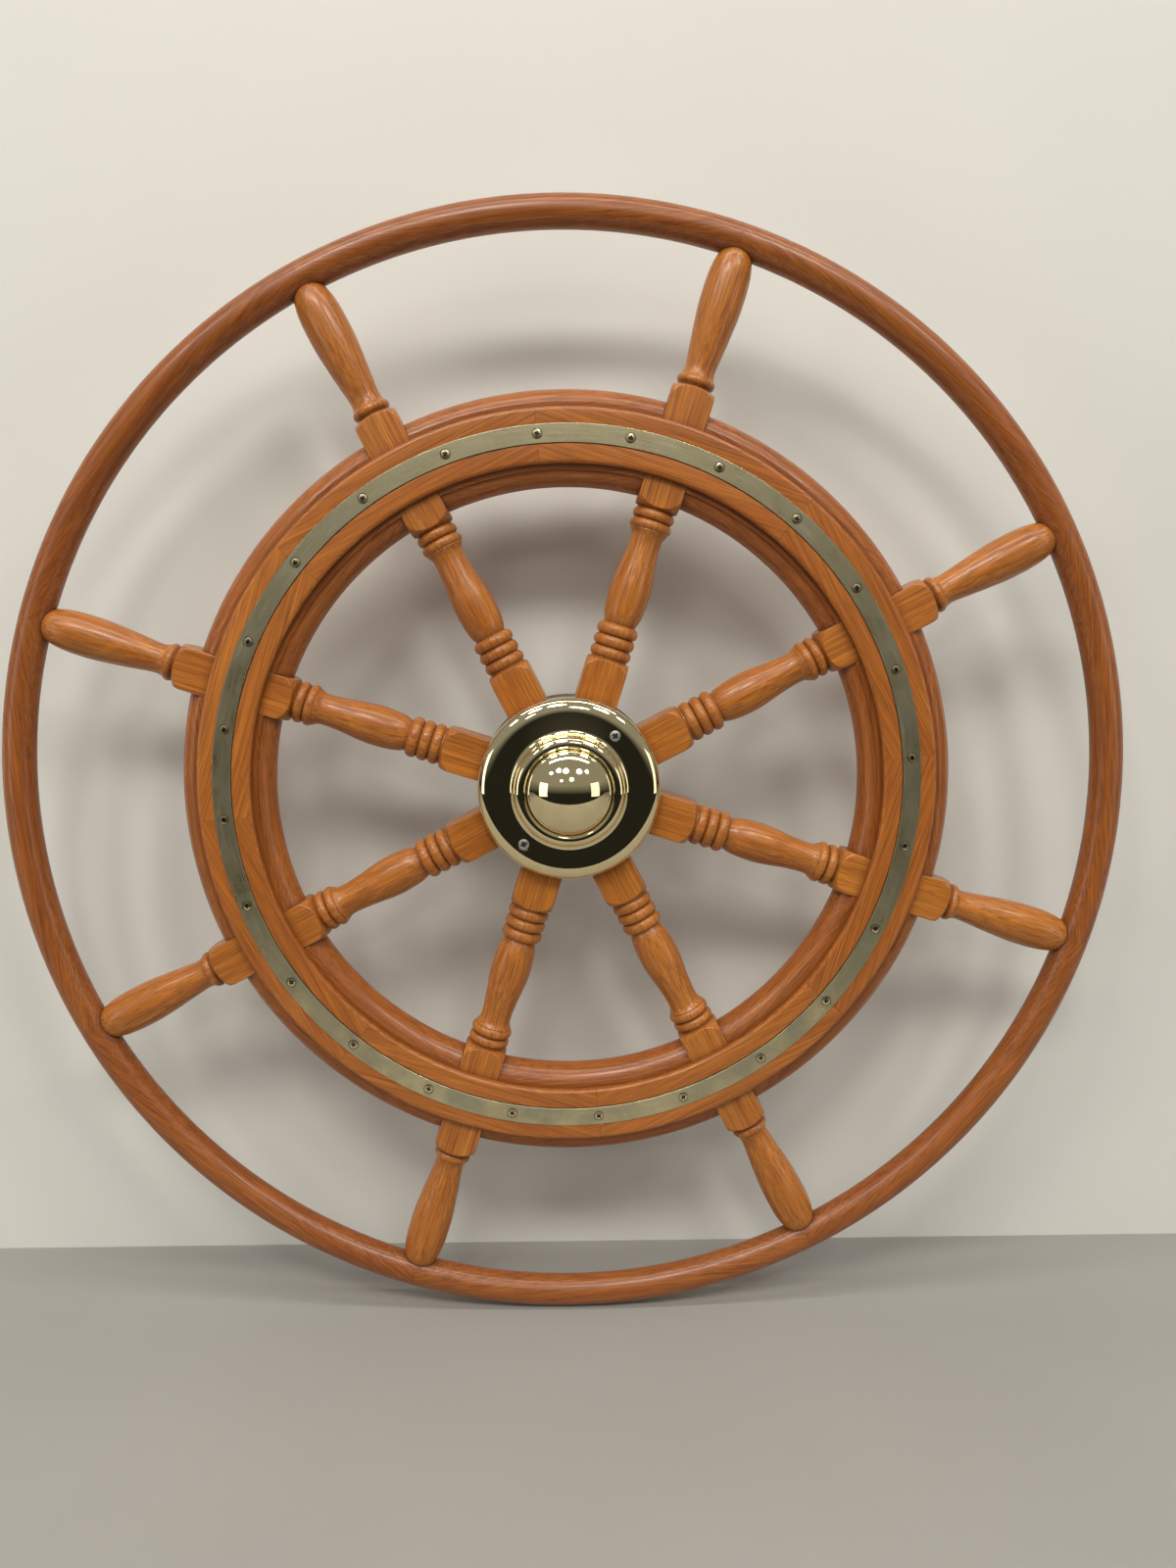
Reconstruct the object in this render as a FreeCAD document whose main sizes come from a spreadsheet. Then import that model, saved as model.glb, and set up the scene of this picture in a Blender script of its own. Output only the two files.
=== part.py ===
import FreeCAD, Part
import math
import os

import Sketcher

# A yacht's steering wheel: eight turned spokes run from a brass hub through a
# built-up ring to handles, and a round outer rim is let on to the handle ends.
# The wheel stands upright and faces -Y. Its axis is Y, and the origin is on the
# shaft's axis half way through the thickness of the spokes. Sizes in millimetres.

SIZES = [
    ("overall_diameter", 1200, "outside of the outer rim"),
    ("rim_thickness", 34, "diameter of the round outer rim"),
    ("spoke_count", 8, "spokes, rim segments and felloes"),
    ("first_spoke_angle", 27.5, "degrees up from +X to the first spoke"),
    ("spoke_square", 45, "side of the square stock of a spoke"),
    ("facing_inside_brass", 20, "ring facing, wood inside the brass ring"),
    ("facing_outside_brass", 17, "ring facing, wood outside the brass ring"),
    ("facing_thickness", 8.5, "ring facing"),
    ("facing_edge_round", 4, "rounding of the facing's edges"),
    ("felloe_shelf", 5.5, "flat of a felloe beside the facing"),
    ("felloe_step", 2.5, "small step below that flat"),
    ("felloe_curve_reach", 15.5, "how far the quarter round stands out"),
    ("brass_ring_radius", 362.5, "middle of the brass ring and its screws"),
    ("brass_ring_width", 19, "brass ring, across"),
    ("brass_ring_thickness", 3, "brass ring"),
    ("brass_ring_proud", 0.6, "brass ring above the facing"),
    ("ring_screws_per_spoke", 3, "brass ring screws for each spoke"),
    ("ring_screw_head", 9, "head diameter of a ring screw"),
    ("ring_screw_shank", 4, "shank diameter of a ring screw"),
    ("ring_screw_sink", 2.2, "depth of the countersink"),
    ("ring_screw_rise", 1.3, "raised head above the brass"),
    ("hub_radius", 96, "front plate and back flange"),
    ("barrel_radius", 30, "hub barrel between the spokes"),
    ("plate_wall", 5, "wall of the front plate"),
    ("plate_depth", 22, "front plate, from the spokes to its face"),
    ("plate_edge_round", 10, "bull nose of the front plate"),
    ("collar_radius", 57.5, "raised collar of the front plate"),
    ("collar_height", 17, "collar above the plate's face"),
    ("collar_cove", 6, "hollow at the collar's foot"),
    ("collar_side", 1, "upright side of the collar above its cove"),
    ("cap_radius", 42, "bead at the foot of the domed cap"),
    ("cap_gap", 2.5, "gap round the cap's bead"),
    ("cap_sink", 2.5, "cap's seat below the collar's top"),
    ("cap_bead", 6, "height of the cap's bead"),
    ("dome_height", 22, "dome above its bead"),
    ("dome_wall", 3, "wall of the cap"),
    ("cap_spigot", 12, "cap's spigot inside the collar"),
    ("fit_gap", 0.2, "clearance of a sliding fit"),
    ("flange_thickness", 10, "back flange"),
    ("boss_radius", 36, "boss behind the flange"),
    ("boss_length", 26, "boss behind the flange"),
    ("cap_bead_round", 1.8, "how far the cap's bead bulges"),
    ("collar_round", 3.2, "how far the collar's shoulder bulges"),
    ("barrel_front", 12, "barrel in front of the spokes"),
    ("bore_radius", 12.5, "shaft bore"),
    ("key_width", 8, "keyway in the bore"),
    ("key_depth", 3.3, "keyway beyond the bore"),
    ("pillar_radius", 5, "pillars that take the plate screws"),
    ("plate_screw_radius", 74, "circle of the plate screws"),
    ("plate_screw_shank", 5, "plate screw, shank diameter"),
    ("plate_screw_head", 10.5, "plate screw, head diameter"),
    ("plate_screw_rise", 2.2, "plate screw, raised head"),
    ("plate_screw_sink", 2.4, "plate screw, depth of the countersink"),
    ("plate_screw_length", 24, "plate screw below the plate's face"),
    ("spoke_screw_radius", 78, "circle of the screws behind the spokes"),
    ("spoke_screw_shank", 5.5, "spoke screw, shank diameter"),
    ("spoke_screw_head", 11, "spoke screw, head diameter"),
    ("spoke_screw_length", 36, "spoke screw, from the flange's back"),
    ("spoke_screw_sink", 3, "spoke screw, depth of the countersink"),
    ("flange_edge_round", 3, "rounding of the back flange's edge"),
    ("boss_cove", 5, "hollow at the boss's foot"),
    ("cap_lip", 2, "bead of the cap beyond its spigot"),
    ("collar_lip", 4.5, "inward slope round the collar's mouth"),
    ("dowel_radius", 5, "dowel from handle to outer rim"),
    ("dowel_in_handle", 28, "dowel inside the handle"),
    ("dowel_in_rim", 16, "dowel beyond the handle's tip"),
    ("pommel_length", 17.5, "from square stock to turned work"),
    ("hub_square_length", 27, "square stock showing outside the hub"),
    ("ring_square_length", 8, "turned work ends this far inside the ring's curve"),
    ("handle_square_length", 3, "square stock showing outside the ring's curve"),
    ("bead_crest_radius", 22, "beads and collars of a spoke"),
    ("bead_foot_radius", 19.4, "quirks between the beads"),
    ("bead_width", 11, "one bead at the hub end"),
    ("hub_bead_count", 3, "beads at the hub end"),
    ("quirk", 1.2, "flat between two beads"),
    ("ring_bead_width", 9.4, "one bead at the ring end"),
    ("ring_bead_count", 2, "beads at the ring end"),
    ("belly_foot_radius", 17.2, "baluster where it rises from the beads"),
    ("belly_rise", 4, "how far the baluster's swelling bulges"),
    ("belly_end_radius", 19.7, "baluster where its swelling turns hollow"),
    ("belly_share", 0.55, "share of the baluster that swells"),
    ("waist_radius", 16.7, "thinnest part of the baluster"),
    ("waist_rise", 0.8, "hollow between the swelling and the waist"),
    ("waist_share", 0.93, "place of the waist, as a share of the baluster"),
    ("flare_rise", 1.6, "hollow from the waist up to the beads"),
    ("handle_quirk", 2.4, "groove between the block and the handle"),
    ("handle_foot_radius", 18.2, "handle beside its bead"),
    ("handle_bead_width", 8.5, "bead at the root of the handle"),
    ("handle_bead_rise", 1.7, "how far that bead bulges"),
    ("neck_radius", 16.1, "handle where its neck ends"),
    ("neck_rise", 1.2, "hollow of the neck"),
    ("neck_share", 0.14, "place of the neck's end, as a share of the grip"),
    ("swell_radius", 21.6, "handle where its swelling begins to close"),
    ("swell_rise", 0.4, "bulge of the handle up to there"),
    ("swell_share", 0.58, "that place, as a share of the grip"),
    ("grip_rise", 2, "bulge of the handle from there to its tip"),
    ("handle_end_radius", 18.8, "handle where it meets the outer rim"),
    ("handle_let_in", 10.5, "handle tip past the rim's inner side"),
    ("tip_length", 14.5, "rounded tip of the handle"),
    ("cutter_clearance", 1, "how far a cutting outline passes beyond the piece"),
]


class Size:
    """A size that carries its value and the way the sheet works it out."""

    def __init__(self, value, text):
        self.value = float(value)
        self.text = text

    def __add__(self, other):
        other = as_size(other)
        return Size(self.value + other.value, f"({self.text} + {other.text})")

    def __sub__(self, other):
        other = as_size(other)
        return Size(self.value - other.value, f"({self.text} - {other.text})")

    def __mul__(self, other):
        other = as_size(other)
        return Size(self.value * other.value, f"({self.text} * {other.text})")

    def __truediv__(self, other):
        other = as_size(other)
        return Size(self.value / other.value, f"({self.text} / {other.text})")

    def __neg__(self):
        return Size(-self.value, f"(0 - {self.text})")


def as_size(number):
    if isinstance(number, Size):
        return number
    return Size(number, f"({number})")


def root(size):
    return Size(math.sqrt(size.value), f"sqrt({size.text})")


def cosine(angle):
    return Size(math.cos(math.radians(angle.value)), f"cos({angle.text})")


def sine(angle):
    return Size(math.sin(math.radians(angle.value)), f"sin({angle.text})")


doc = FreeCAD.newDocument("steering_wheel")
sheet = doc.addObject("Spreadsheet::Sheet", "Sizes")
wheel = {}
for row, (alias, number, meaning) in enumerate(SIZES, start=1):
    sheet.set(f"A{row}", meaning)
    sheet.set(f"B{row}", str(number))
    sheet.setAlias(f"B{row}", alias)
    wheel[alias] = Size(number, f"Sizes.{alias}")
doc.recompute()

SPOKES = int(wheel["spoke_count"].value)
PITCH = as_size(360) / wheel["spoke_count"]
HALF_PITCH = PITCH / 2
HALF_SQUARE = wheel["spoke_square"] / 2
CORNER = HALF_SQUARE * math.sqrt(2)
BEYOND = wheel["cutter_clearance"]
OUTSIDE = CORNER + BEYOND * 2


class Path:
    """A closed outline of lines and arcs, held point by point to the sheet."""

    def __init__(self, across, up):
        self.points = [(as_size(across), as_size(up))]
        self.rises = []

    def line(self, across, up):
        self.rises.append(None)
        self.points.append((as_size(across), as_size(up)))

    def arc(self, across, up, rise):
        """An arc to the next point. A positive rise bulges to the left of the way there."""
        self.rises.append(as_size(rise))
        self.points.append((as_size(across), as_size(up)))

    def draw(self, sketch):
        """Closes the outline with a line and adds it to the sketch."""
        first_edge = sketch.GeometryCount
        edges = []
        ends = []
        ties = []
        for side, rise in enumerate(self.rises + [None]):
            start = self.points[side]
            finish = self.points[(side + 1) % len(self.points)]
            edge, start_point, finish_point, radius = make_side(start, finish, rise)
            edges.append(edge)
            ends.append((first_edge + side, start_point, finish_point))
            if radius is not None:
                radius_tie = Sketcher.Constraint("Radius", first_edge + side, radius.value)
                ties.append((radius_tie, radius.text))
        for side, (edge, start_point, _) in enumerate(ends):
            before, _, finish_point = ends[side - 1]
            joint = Sketcher.Constraint("Coincident", before, finish_point, edge, start_point)
            ties.append((joint, None))
            ties.extend(place_ties(edge, start_point, *self.points[side]))
        sketch.addGeometry(edges, False)
        add_ties(sketch, ties)


def make_side(start, finish, rise):
    """One side of an outline, the ends of it that start and finish are, and its radius."""
    here = FreeCAD.Vector(start[0].value, start[1].value, 0)
    there = FreeCAD.Vector(finish[0].value, finish[1].value, 0)
    if rise is None:
        return Part.LineSegment(here, there), 1, 2, None
    along = finish[0] - start[0]
    upward = finish[1] - start[1]
    radius = ((along * along + upward * upward) / 4 + rise * rise) / (rise * 2)
    left = FreeCAD.Vector(here.y - there.y, there.x - here.x, 0).normalize()
    centre = (here + there) / 2 + left * (rise.value - radius.value)
    circle = Part.Circle(centre, FreeCAD.Vector(0, 0, 1), abs(radius.value))
    angles = [math.atan2(end.y - centre.y, end.x - centre.x) for end in (here, there)]
    size = Size(abs(radius.value), f"abs({radius.text})")
    if rise.value > 0:
        return Part.ArcOfCircle(circle, angles[1], angles[0]), 2, 1, size
    return Part.ArcOfCircle(circle, angles[0], angles[1]), 1, 2, size


def place_ties(edge, point, across, up):
    """Ties one end of an edge, or a circle's centre, to its distances from the origin."""
    ties = []
    for kind, axis, size in (("DistanceX", -2, across), ("DistanceY", -1, up)):
        if size.text == "(0)":
            ties.append((Sketcher.Constraint("PointOnObject", edge, point, axis), None))
        else:
            ties.append((Sketcher.Constraint(kind, -1, 1, edge, point, size.value), size.text))
    return ties


def add_ties(sketch, ties):
    first = sketch.ConstraintCount
    sketch.addConstraint([tie for tie, _ in ties])
    for number, (_, text) in enumerate(ties, start=first):
        if text is not None:
            sketch.setExpression(f"Constraints[{number}]", text)


def draw_circle(sketch, across, up, radius):
    across, up = as_size(across), as_size(up)
    centre = FreeCAD.Vector(across.value, up.value, 0)
    edge = sketch.addGeometry(Part.Circle(centre, FreeCAD.Vector(0, 0, 1), radius.value), False)
    radius_tie = (Sketcher.Constraint("Radius", edge, radius.value), radius.text)
    add_ties(sketch, [radius_tie] + place_ties(edge, 3, across, up))


def draw_axis(sketch, start, finish):
    """A construction line that a feature turns about. It has to be drawn first."""
    ends = [FreeCAD.Vector(across.value, up.value, 0) for across, up in (start, finish)]
    edge = sketch.addGeometry(Part.LineSegment(*ends), True)
    add_ties(sketch, place_ties(edge, 1, *start) + place_ties(edge, 2, *finish))


bodies = []


def new_body(label, angle=None):
    """A body of its own, turned about the wheel's axis to its place."""
    body = doc.addObject("PartDesign::Body", label)
    body.Label = label
    if angle is not None:
        turn = FreeCAD.Rotation(FreeCAD.Vector(0, -1, 0), angle.value)
        body.Placement = FreeCAD.Placement(FreeCAD.Vector(), turn)
        body.setExpression("Placement.Rotation.Angle", angle.text)
    bodies.append(body)
    return body


def new_sketch(body, role, name, lift=None):
    """A sketch on one of the body's own planes, lifted along that plane's normal."""
    sketch = body.newObject("Sketcher::SketchObject", name)
    plane = [f for f in body.Origin.OriginFeatures if f.Role == role][0]
    sketch.AttachmentSupport = (plane, [""])
    sketch.MapMode = "FlatFace"
    if lift is not None:
        sketch.AttachmentOffset = FreeCAD.Placement(FreeCAD.Vector(0, 0, lift.value), FreeCAD.Rotation())
        sketch.setExpression("AttachmentOffset.Base.z", lift.text)
    return sketch


def axis_of(body, role):
    return [f for f in body.Origin.OriginFeatures if f.Role == role][0]


def turn(body, kind, name, sketch, axis, angle=None):
    """A Revolution or Groove. Without an angle it goes all the way round."""
    feature = body.newObject("PartDesign::" + kind, name)
    feature.Profile = sketch
    feature.ReferenceAxis = axis
    feature.Angle = 360
    if angle is not None:
        feature.Midplane = True
        feature.Angle = angle.value
        feature.setExpression("Angle", angle.text)
    return feature


def extrude(body, kind, name, sketch, length=None, midplane=False, backwards=False):
    """A Pad or Pocket. Without a length it goes through everything, both ways."""
    feature = body.newObject("PartDesign::" + kind, name)
    feature.Profile = sketch
    feature.Midplane = midplane
    feature.Reversed = backwards
    if length is None:
        feature.Type = "ThroughAll"
        feature.Midplane = True
    else:
        feature.setExpression("Length", length.text)
    return feature


def pattern_round_axis(body, feature, count):
    """Repeats a feature round the wheel's axis."""
    pattern = body.newObject("PartDesign::PolarPattern", feature.Name + "_round")
    pattern.Originals = [feature]
    pattern.Axis = (axis_of(body, "Y_Axis"), [""])
    pattern.Angle = 360
    pattern.Occurrences = int(round(count.value))
    pattern.setExpression("Occurrences", count.text)
    body.Tip = pattern
    return pattern


def spoke_angle(number):
    return wheel["first_spoke_angle"] + PITCH * number


def gap_angle(number):
    return spoke_angle(number) + HALF_PITCH


RIM_RADIUS = (wheel["overall_diameter"] - wheel["rim_thickness"]) / 2
RIM_INSIDE = RIM_RADIUS - wheel["rim_thickness"] / 2
TIP = RIM_INSIDE + wheel["handle_let_in"]
RING_FRONT = HALF_SQUARE + wheel["facing_thickness"]
BRASS_FRONT = RING_FRONT + wheel["brass_ring_proud"]
BRASS_INNER = wheel["brass_ring_radius"] - wheel["brass_ring_width"] / 2
BRASS_OUTER = wheel["brass_ring_radius"] + wheel["brass_ring_width"] / 2
BRASS_FLOOR = BRASS_FRONT - wheel["brass_ring_thickness"]
FACING_INNER = BRASS_INNER - wheel["facing_inside_brass"]
FACING_OUTER = BRASS_OUTER + wheel["facing_outside_brass"]
FELLOE_INNER = FACING_INNER - wheel["felloe_shelf"]
FELLOE_OUTER = FACING_OUTER + wheel["felloe_shelf"]
CREST_INSIDE = FELLOE_INNER - wheel["felloe_curve_reach"]
CREST_OUTSIDE = FELLOE_OUTER + wheel["felloe_curve_reach"]
PLATE_FACE = HALF_SQUARE + wheel["plate_depth"]
FLANGE_BACK = HALF_SQUARE + wheel["flange_thickness"]
CAP_SEAT = PLATE_FACE + wheel["collar_height"] - wheel["cap_sink"]


def tip_centre():
    """The rounded tip of a handle is a ball. Its centre and radius, by two points on it."""
    root_of_tip = TIP - wheel["tip_length"]
    end = wheel["handle_end_radius"]
    centre = (TIP * TIP - root_of_tip * root_of_tip - end * end) / (wheel["tip_length"] * 2)
    return centre, TIP - centre


def arc_rise_from_tangent(length, drop):
    """Rise of an arc that starts level and falls by drop along length."""
    chord_squared = length * length + drop * drop
    radius = chord_squared / (drop * 2)
    return radius - root(radius * radius - chord_squared / 4)


def add_beads(path, place, count, width, foot, crest):
    """Half-round beads side by side, with a quirk after each. Returns the next place."""
    for _ in range(int(count.value)):
        path.arc(place + width, foot, crest - foot)
        place = place + width + wheel["quirk"]
        path.line(place, foot)
    return place


def turned_stretch(sketch):
    """What the lathe takes away between the hub and the ring."""
    foot = wheel["bead_foot_radius"]
    crest = wheel["bead_crest_radius"]
    pommel = wheel["pommel_length"]
    rise = arc_rise_from_tangent(pommel, CORNER - foot)
    start = wheel["hub_radius"] + wheel["hub_square_length"]
    finish = CREST_INSIDE + wheel["ring_square_length"]
    path = Path(start, OUTSIDE)
    path.line(start, CORNER)
    path.arc(start + pommel, foot, rise)
    place = start + pommel + wheel["quirk"]
    path.line(place, foot)
    place = add_beads(path, place, wheel["hub_bead_count"], wheel["bead_width"], foot, crest)
    ring_beads = wheel["ring_bead_width"] + wheel["quirk"]
    collar = finish - pommel - wheel["quirk"] - ring_beads * wheel["ring_bead_count"]
    span = collar - place
    belly_end = place + span * wheel["belly_share"]
    waist = place + span * wheel["waist_share"]
    path.line(place, wheel["belly_foot_radius"])
    path.arc(belly_end, wheel["belly_end_radius"], wheel["belly_rise"])
    path.arc(waist, wheel["waist_radius"], -wheel["waist_rise"])
    path.arc(collar, foot, -wheel["flare_rise"])
    place = add_beads(path, collar, wheel["ring_bead_count"], wheel["ring_bead_width"], foot, crest)
    path.line(finish - pommel, foot)
    path.arc(finish, CORNER, rise)
    path.line(finish, OUTSIDE)
    path.draw(sketch)


def handle_stretch(sketch):
    """What the lathe takes away outside the ring, with the dowel's hole in the tip."""
    foot = wheel["handle_foot_radius"]
    pommel = wheel["pommel_length"]
    dowel = wheel["dowel_radius"]
    centre, radius = tip_centre()
    start = CREST_OUTSIDE + wheel["handle_square_length"]
    bead = start + pommel + wheel["handle_quirk"]
    neck_start = bead + wheel["handle_bead_width"]
    tip_root = TIP - wheel["tip_length"]
    grip = tip_root - neck_start
    neck_end = neck_start + grip * wheel["neck_share"]
    swell = neck_start + grip * wheel["swell_share"]
    path = Path(start, OUTSIDE)
    path.line(start, CORNER)
    path.arc(start + pommel, foot, arc_rise_from_tangent(pommel, CORNER - foot))
    path.line(bead, foot)
    path.arc(neck_start, foot, wheel["handle_bead_rise"])
    path.arc(neck_end, wheel["neck_radius"], -wheel["neck_rise"])
    path.arc(swell, wheel["swell_radius"], wheel["swell_rise"])
    path.arc(tip_root, wheel["handle_end_radius"], wheel["grip_rise"])
    dowel_mouth = centre + root(radius * radius - dowel * dowel)
    path.arc(dowel_mouth, dowel, ball_rise(centre, radius, tip_root, dowel_mouth, dowel))
    path.line(TIP - wheel["dowel_in_handle"], dowel)
    path.line(TIP - wheel["dowel_in_handle"], 0)
    path.line(TIP + BEYOND, 0)
    path.line(TIP + BEYOND, OUTSIDE)
    path.draw(sketch)


def ball_rise(centre, radius, start, finish, finish_radius):
    """Rise of the arc of a ball between two places along its axis."""
    start_radius = root(radius * radius - (start - centre) * (start - centre))
    along = finish - start
    down = start_radius - finish_radius
    chord_squared = along * along + down * down
    return radius - root(radius * radius - chord_squared / 4)


def make_spoke(number):
    """A spoke in one piece: mitred end, pommels, beads, baluster, block and handle."""
    body = new_body(f"spoke_{number + 1}", spoke_angle(number))
    inside = wheel["barrel_radius"] + wheel["fit_gap"]
    mitre = HALF_SQUARE * cosine(HALF_PITCH) / sine(HALF_PITCH)
    across = inside * cosine(HALF_PITCH)
    up = inside * sine(HALF_PITCH)
    plan = Path(mitre, HALF_SQUARE)
    plan.line(TIP, HALF_SQUARE)
    plan.line(TIP, -HALF_SQUARE)
    plan.line(mitre, -HALF_SQUARE)
    plan.line(across, -up)
    plan.arc(across, up, across - inside)
    sketch = new_sketch(body, "XZ_Plane", "spoke_plan")
    plan.draw(sketch)
    extrude(body, "Pad", "square_stock", sketch, wheel["spoke_square"], midplane=True)
    for name, stretch in (("baluster", turned_stretch), ("handle", handle_stretch)):
        sketch = new_sketch(body, "XY_Plane", name + "_profile")
        stretch(sketch)
        turn(body, "Groove", name, sketch, (axis_of(body, "X_Axis"), [""]))
    sketch = new_sketch(body, "XZ_Plane", "screw_hole_circle", -HALF_SQUARE)
    draw_circle(sketch, wheel["spoke_screw_radius"], 0, wheel["spoke_screw_shank"] / 2)
    depth = wheel["spoke_screw_length"] - wheel["flange_thickness"]
    extrude(body, "Pocket", "screw_hole", sketch, depth, backwards=True)


def beside_spoke(angle, along, out):
    """A point given along a spoke and out to its side, in the plane of the wheel."""
    return (along * cosine(angle) - out * sine(angle), along * sine(angle) + out * cosine(angle))


def make_rim_segment(number):
    """A bent length of round section from handle to handle, coped over both tips."""
    body = new_body(f"outer_rim_{number + 1}", gap_angle(number))
    section = new_sketch(body, "XY_Plane", "round_section")
    draw_circle(section, RIM_RADIUS, 0, wheel["rim_thickness"] / 2)
    turn(body, "Revolution", "bent_length", section, (axis_of(body, "Y_Axis"), [""]), PITCH)
    centre, tip_radius = tip_centre()
    ball = tip_radius + wheel["fit_gap"]
    dowel = wheel["dowel_radius"]
    dowel_end = TIP + wheel["dowel_in_rim"]
    mouth = centre + root(ball * ball - dowel * dowel)
    for name, angle in (("far", HALF_PITCH), ("near", -HALF_PITCH)):
        sketch = new_sketch(body, "XZ_Plane", name + "_cope_profile")
        zero = as_size(0)
        draw_axis(sketch, beside_spoke(angle, centre, zero), beside_spoke(angle, dowel_end, zero))
        path = Path(*beside_spoke(angle, centre, zero))
        path.line(*beside_spoke(angle, centre, ball))
        path.arc(*beside_spoke(angle, mouth, dowel), ball_rise(centre, ball, centre, mouth, dowel))
        path.line(*beside_spoke(angle, dowel_end, dowel))
        path.line(*beside_spoke(angle, dowel_end, zero))
        path.draw(sketch)
        turn(body, "Groove", name + "_cope", sketch, (sketch, ["Axis0"]))


def make_felloe(number):
    """The filling of the ring between two spokes, with its quarter-round edges."""
    body = new_body(f"felloe_{number + 1}", gap_angle(number))
    inner, outer = FELLOE_INNER, FELLOE_OUTER
    step = HALF_SQUARE - wheel["felloe_step"]
    section = new_sketch(body, "XY_Plane", "felloe_section")
    path = Path(inner, -HALF_SQUARE)
    path.line(outer, -HALF_SQUARE)
    path.line(outer, -step)
    path.arc(outer, step, -wheel["felloe_curve_reach"])
    path.line(outer, HALF_SQUARE)
    path.line(inner, HALF_SQUARE)
    path.line(inner, step)
    path.arc(inner, -step, -wheel["felloe_curve_reach"])
    path.draw(section)
    turn(body, "Revolution", "felloe", section, (axis_of(body, "Y_Axis"), [""]), PITCH)
    spokes = new_sketch(body, "XZ_Plane", "spoke_sides")
    start = CREST_INSIDE - HALF_SQUARE
    finish = CREST_OUTSIDE + HALF_SQUARE
    for angle, side in ((HALF_PITCH, -HALF_SQUARE), (-HALF_PITCH, HALF_SQUARE)):
        path = Path(*beside_spoke(angle, start, side))
        path.line(*beside_spoke(angle, finish, side))
        path.line(*beside_spoke(angle, finish, -side))
        path.line(*beside_spoke(angle, start, -side))
        path.draw(spokes)
    extrude(body, "Pocket", "spoke_mortises", spokes)


def facing_path(front):
    """Section of a facing with two rounded edges. The front one has a groove for the brass."""
    inner, outer = FACING_INNER, FACING_OUTER
    edge = wheel["facing_edge_round"]
    rise = edge * (1 - math.sqrt(0.5))
    side = -1 if front else 1
    rise = rise if front else -rise
    path = Path(inner, HALF_SQUARE * side)
    path.line(outer, HALF_SQUARE * side)
    path.line(outer, (RING_FRONT - edge) * side)
    path.arc(outer - edge, RING_FRONT * side, rise)
    if front:
        path.line(BRASS_OUTER, RING_FRONT * side)
        path.line(BRASS_OUTER, BRASS_FLOOR * side)
        path.line(BRASS_INNER, BRASS_FLOOR * side)
        path.line(BRASS_INNER, RING_FRONT * side)
    path.line(inner + edge, RING_FRONT * side)
    path.arc(inner, (RING_FRONT - edge) * side, rise)
    return path


def make_front_facing(number):
    """A segment of the ring's face, centred on a spoke, with the brass ring's groove."""
    body = new_body(f"front_facing_{number + 1}", spoke_angle(number))
    section = new_sketch(body, "XY_Plane", "facing_section")
    facing_path(True).draw(section)
    turn(body, "Revolution", "facing", section, (axis_of(body, "Y_Axis"), [""]), PITCH)
    holes = new_sketch(body, "XZ_Plane", "screw_hole_circles")
    per_spoke = int(wheel["ring_screws_per_spoke"].value)
    for hole in range(per_spoke + 1):
        angle = HALF_PITCH - PITCH / wheel["ring_screws_per_spoke"] * hole
        across, up = beside_spoke(angle, wheel["brass_ring_radius"], as_size(0))
        draw_circle(holes, across, up, wheel["ring_screw_shank"] / 2)
    extrude(body, "Pocket", "screw_holes", holes)


def make_back_facing(number):
    """The plain segment behind, the same as the front one but for the brass."""
    body = new_body(f"back_facing_{number + 1}", spoke_angle(number))
    section = new_sketch(body, "XY_Plane", "facing_section")
    facing_path(False).draw(section)
    turn(body, "Revolution", "facing", section, (axis_of(body, "Y_Axis"), [""]), PITCH)


def screw_path(radius, face, rise, head, shank, sink, length):
    """Half of a countersunk, raised-head screw that points to +Y, beside its own axis."""
    path = Path(radius, -(face + rise))
    path.arc(radius + head / 2, -face, -arc_rise_from_tangent(head / 2, rise))
    path.line(radius + shank / 2, -(face - sink))
    path.line(radius + shank / 2, -(face - length))
    path.line(radius, -(face - length))
    return path


def countersink_path(radius, face, head, shank, sink, depth):
    """Half of the hole that such a screw sits in."""
    path = Path(radius, -(face + BEYOND))
    path.line(radius + head / 2, -(face + BEYOND))
    path.line(radius + head / 2, -face)
    path.line(radius + shank / 2, -(face - sink))
    path.line(radius + shank / 2, -(face - depth))
    path.line(radius, -(face - depth))
    return path


def axis_sketch(body, name, radius):
    """A sketch in the section plane with an axis parallel to the wheel's own."""
    sketch = new_sketch(body, "XY_Plane", name)
    draw_axis(sketch, (radius, -wheel["spoke_square"]), (radius, wheel["spoke_square"]))
    return sketch


def make_brass_ring():
    body = new_body("brass_ring", gap_angle(0))
    section = new_sketch(body, "XY_Plane", "strip_section")
    path = Path(BRASS_INNER, -BRASS_FLOOR)
    path.line(BRASS_OUTER, -BRASS_FLOOR)
    path.line(BRASS_OUTER, -BRASS_FRONT)
    path.line(BRASS_INNER, -BRASS_FRONT)
    path.draw(section)
    turn(body, "Revolution", "strip", section, (axis_of(body, "Y_Axis"), [""]))
    middle = wheel["brass_ring_radius"]
    sketch = axis_sketch(body, "screw_hole_profile", middle)
    head, shank = wheel["ring_screw_head"], wheel["ring_screw_shank"]
    depth = wheel["brass_ring_thickness"] + BEYOND
    countersink_path(middle, BRASS_FRONT, head, shank, wheel["ring_screw_sink"], depth).draw(sketch)
    hole = turn(body, "Groove", "screw_hole", sketch, (sketch, ["Axis0"]))
    pattern_round_axis(body, hole, wheel["spoke_count"] * wheel["ring_screws_per_spoke"])


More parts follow.
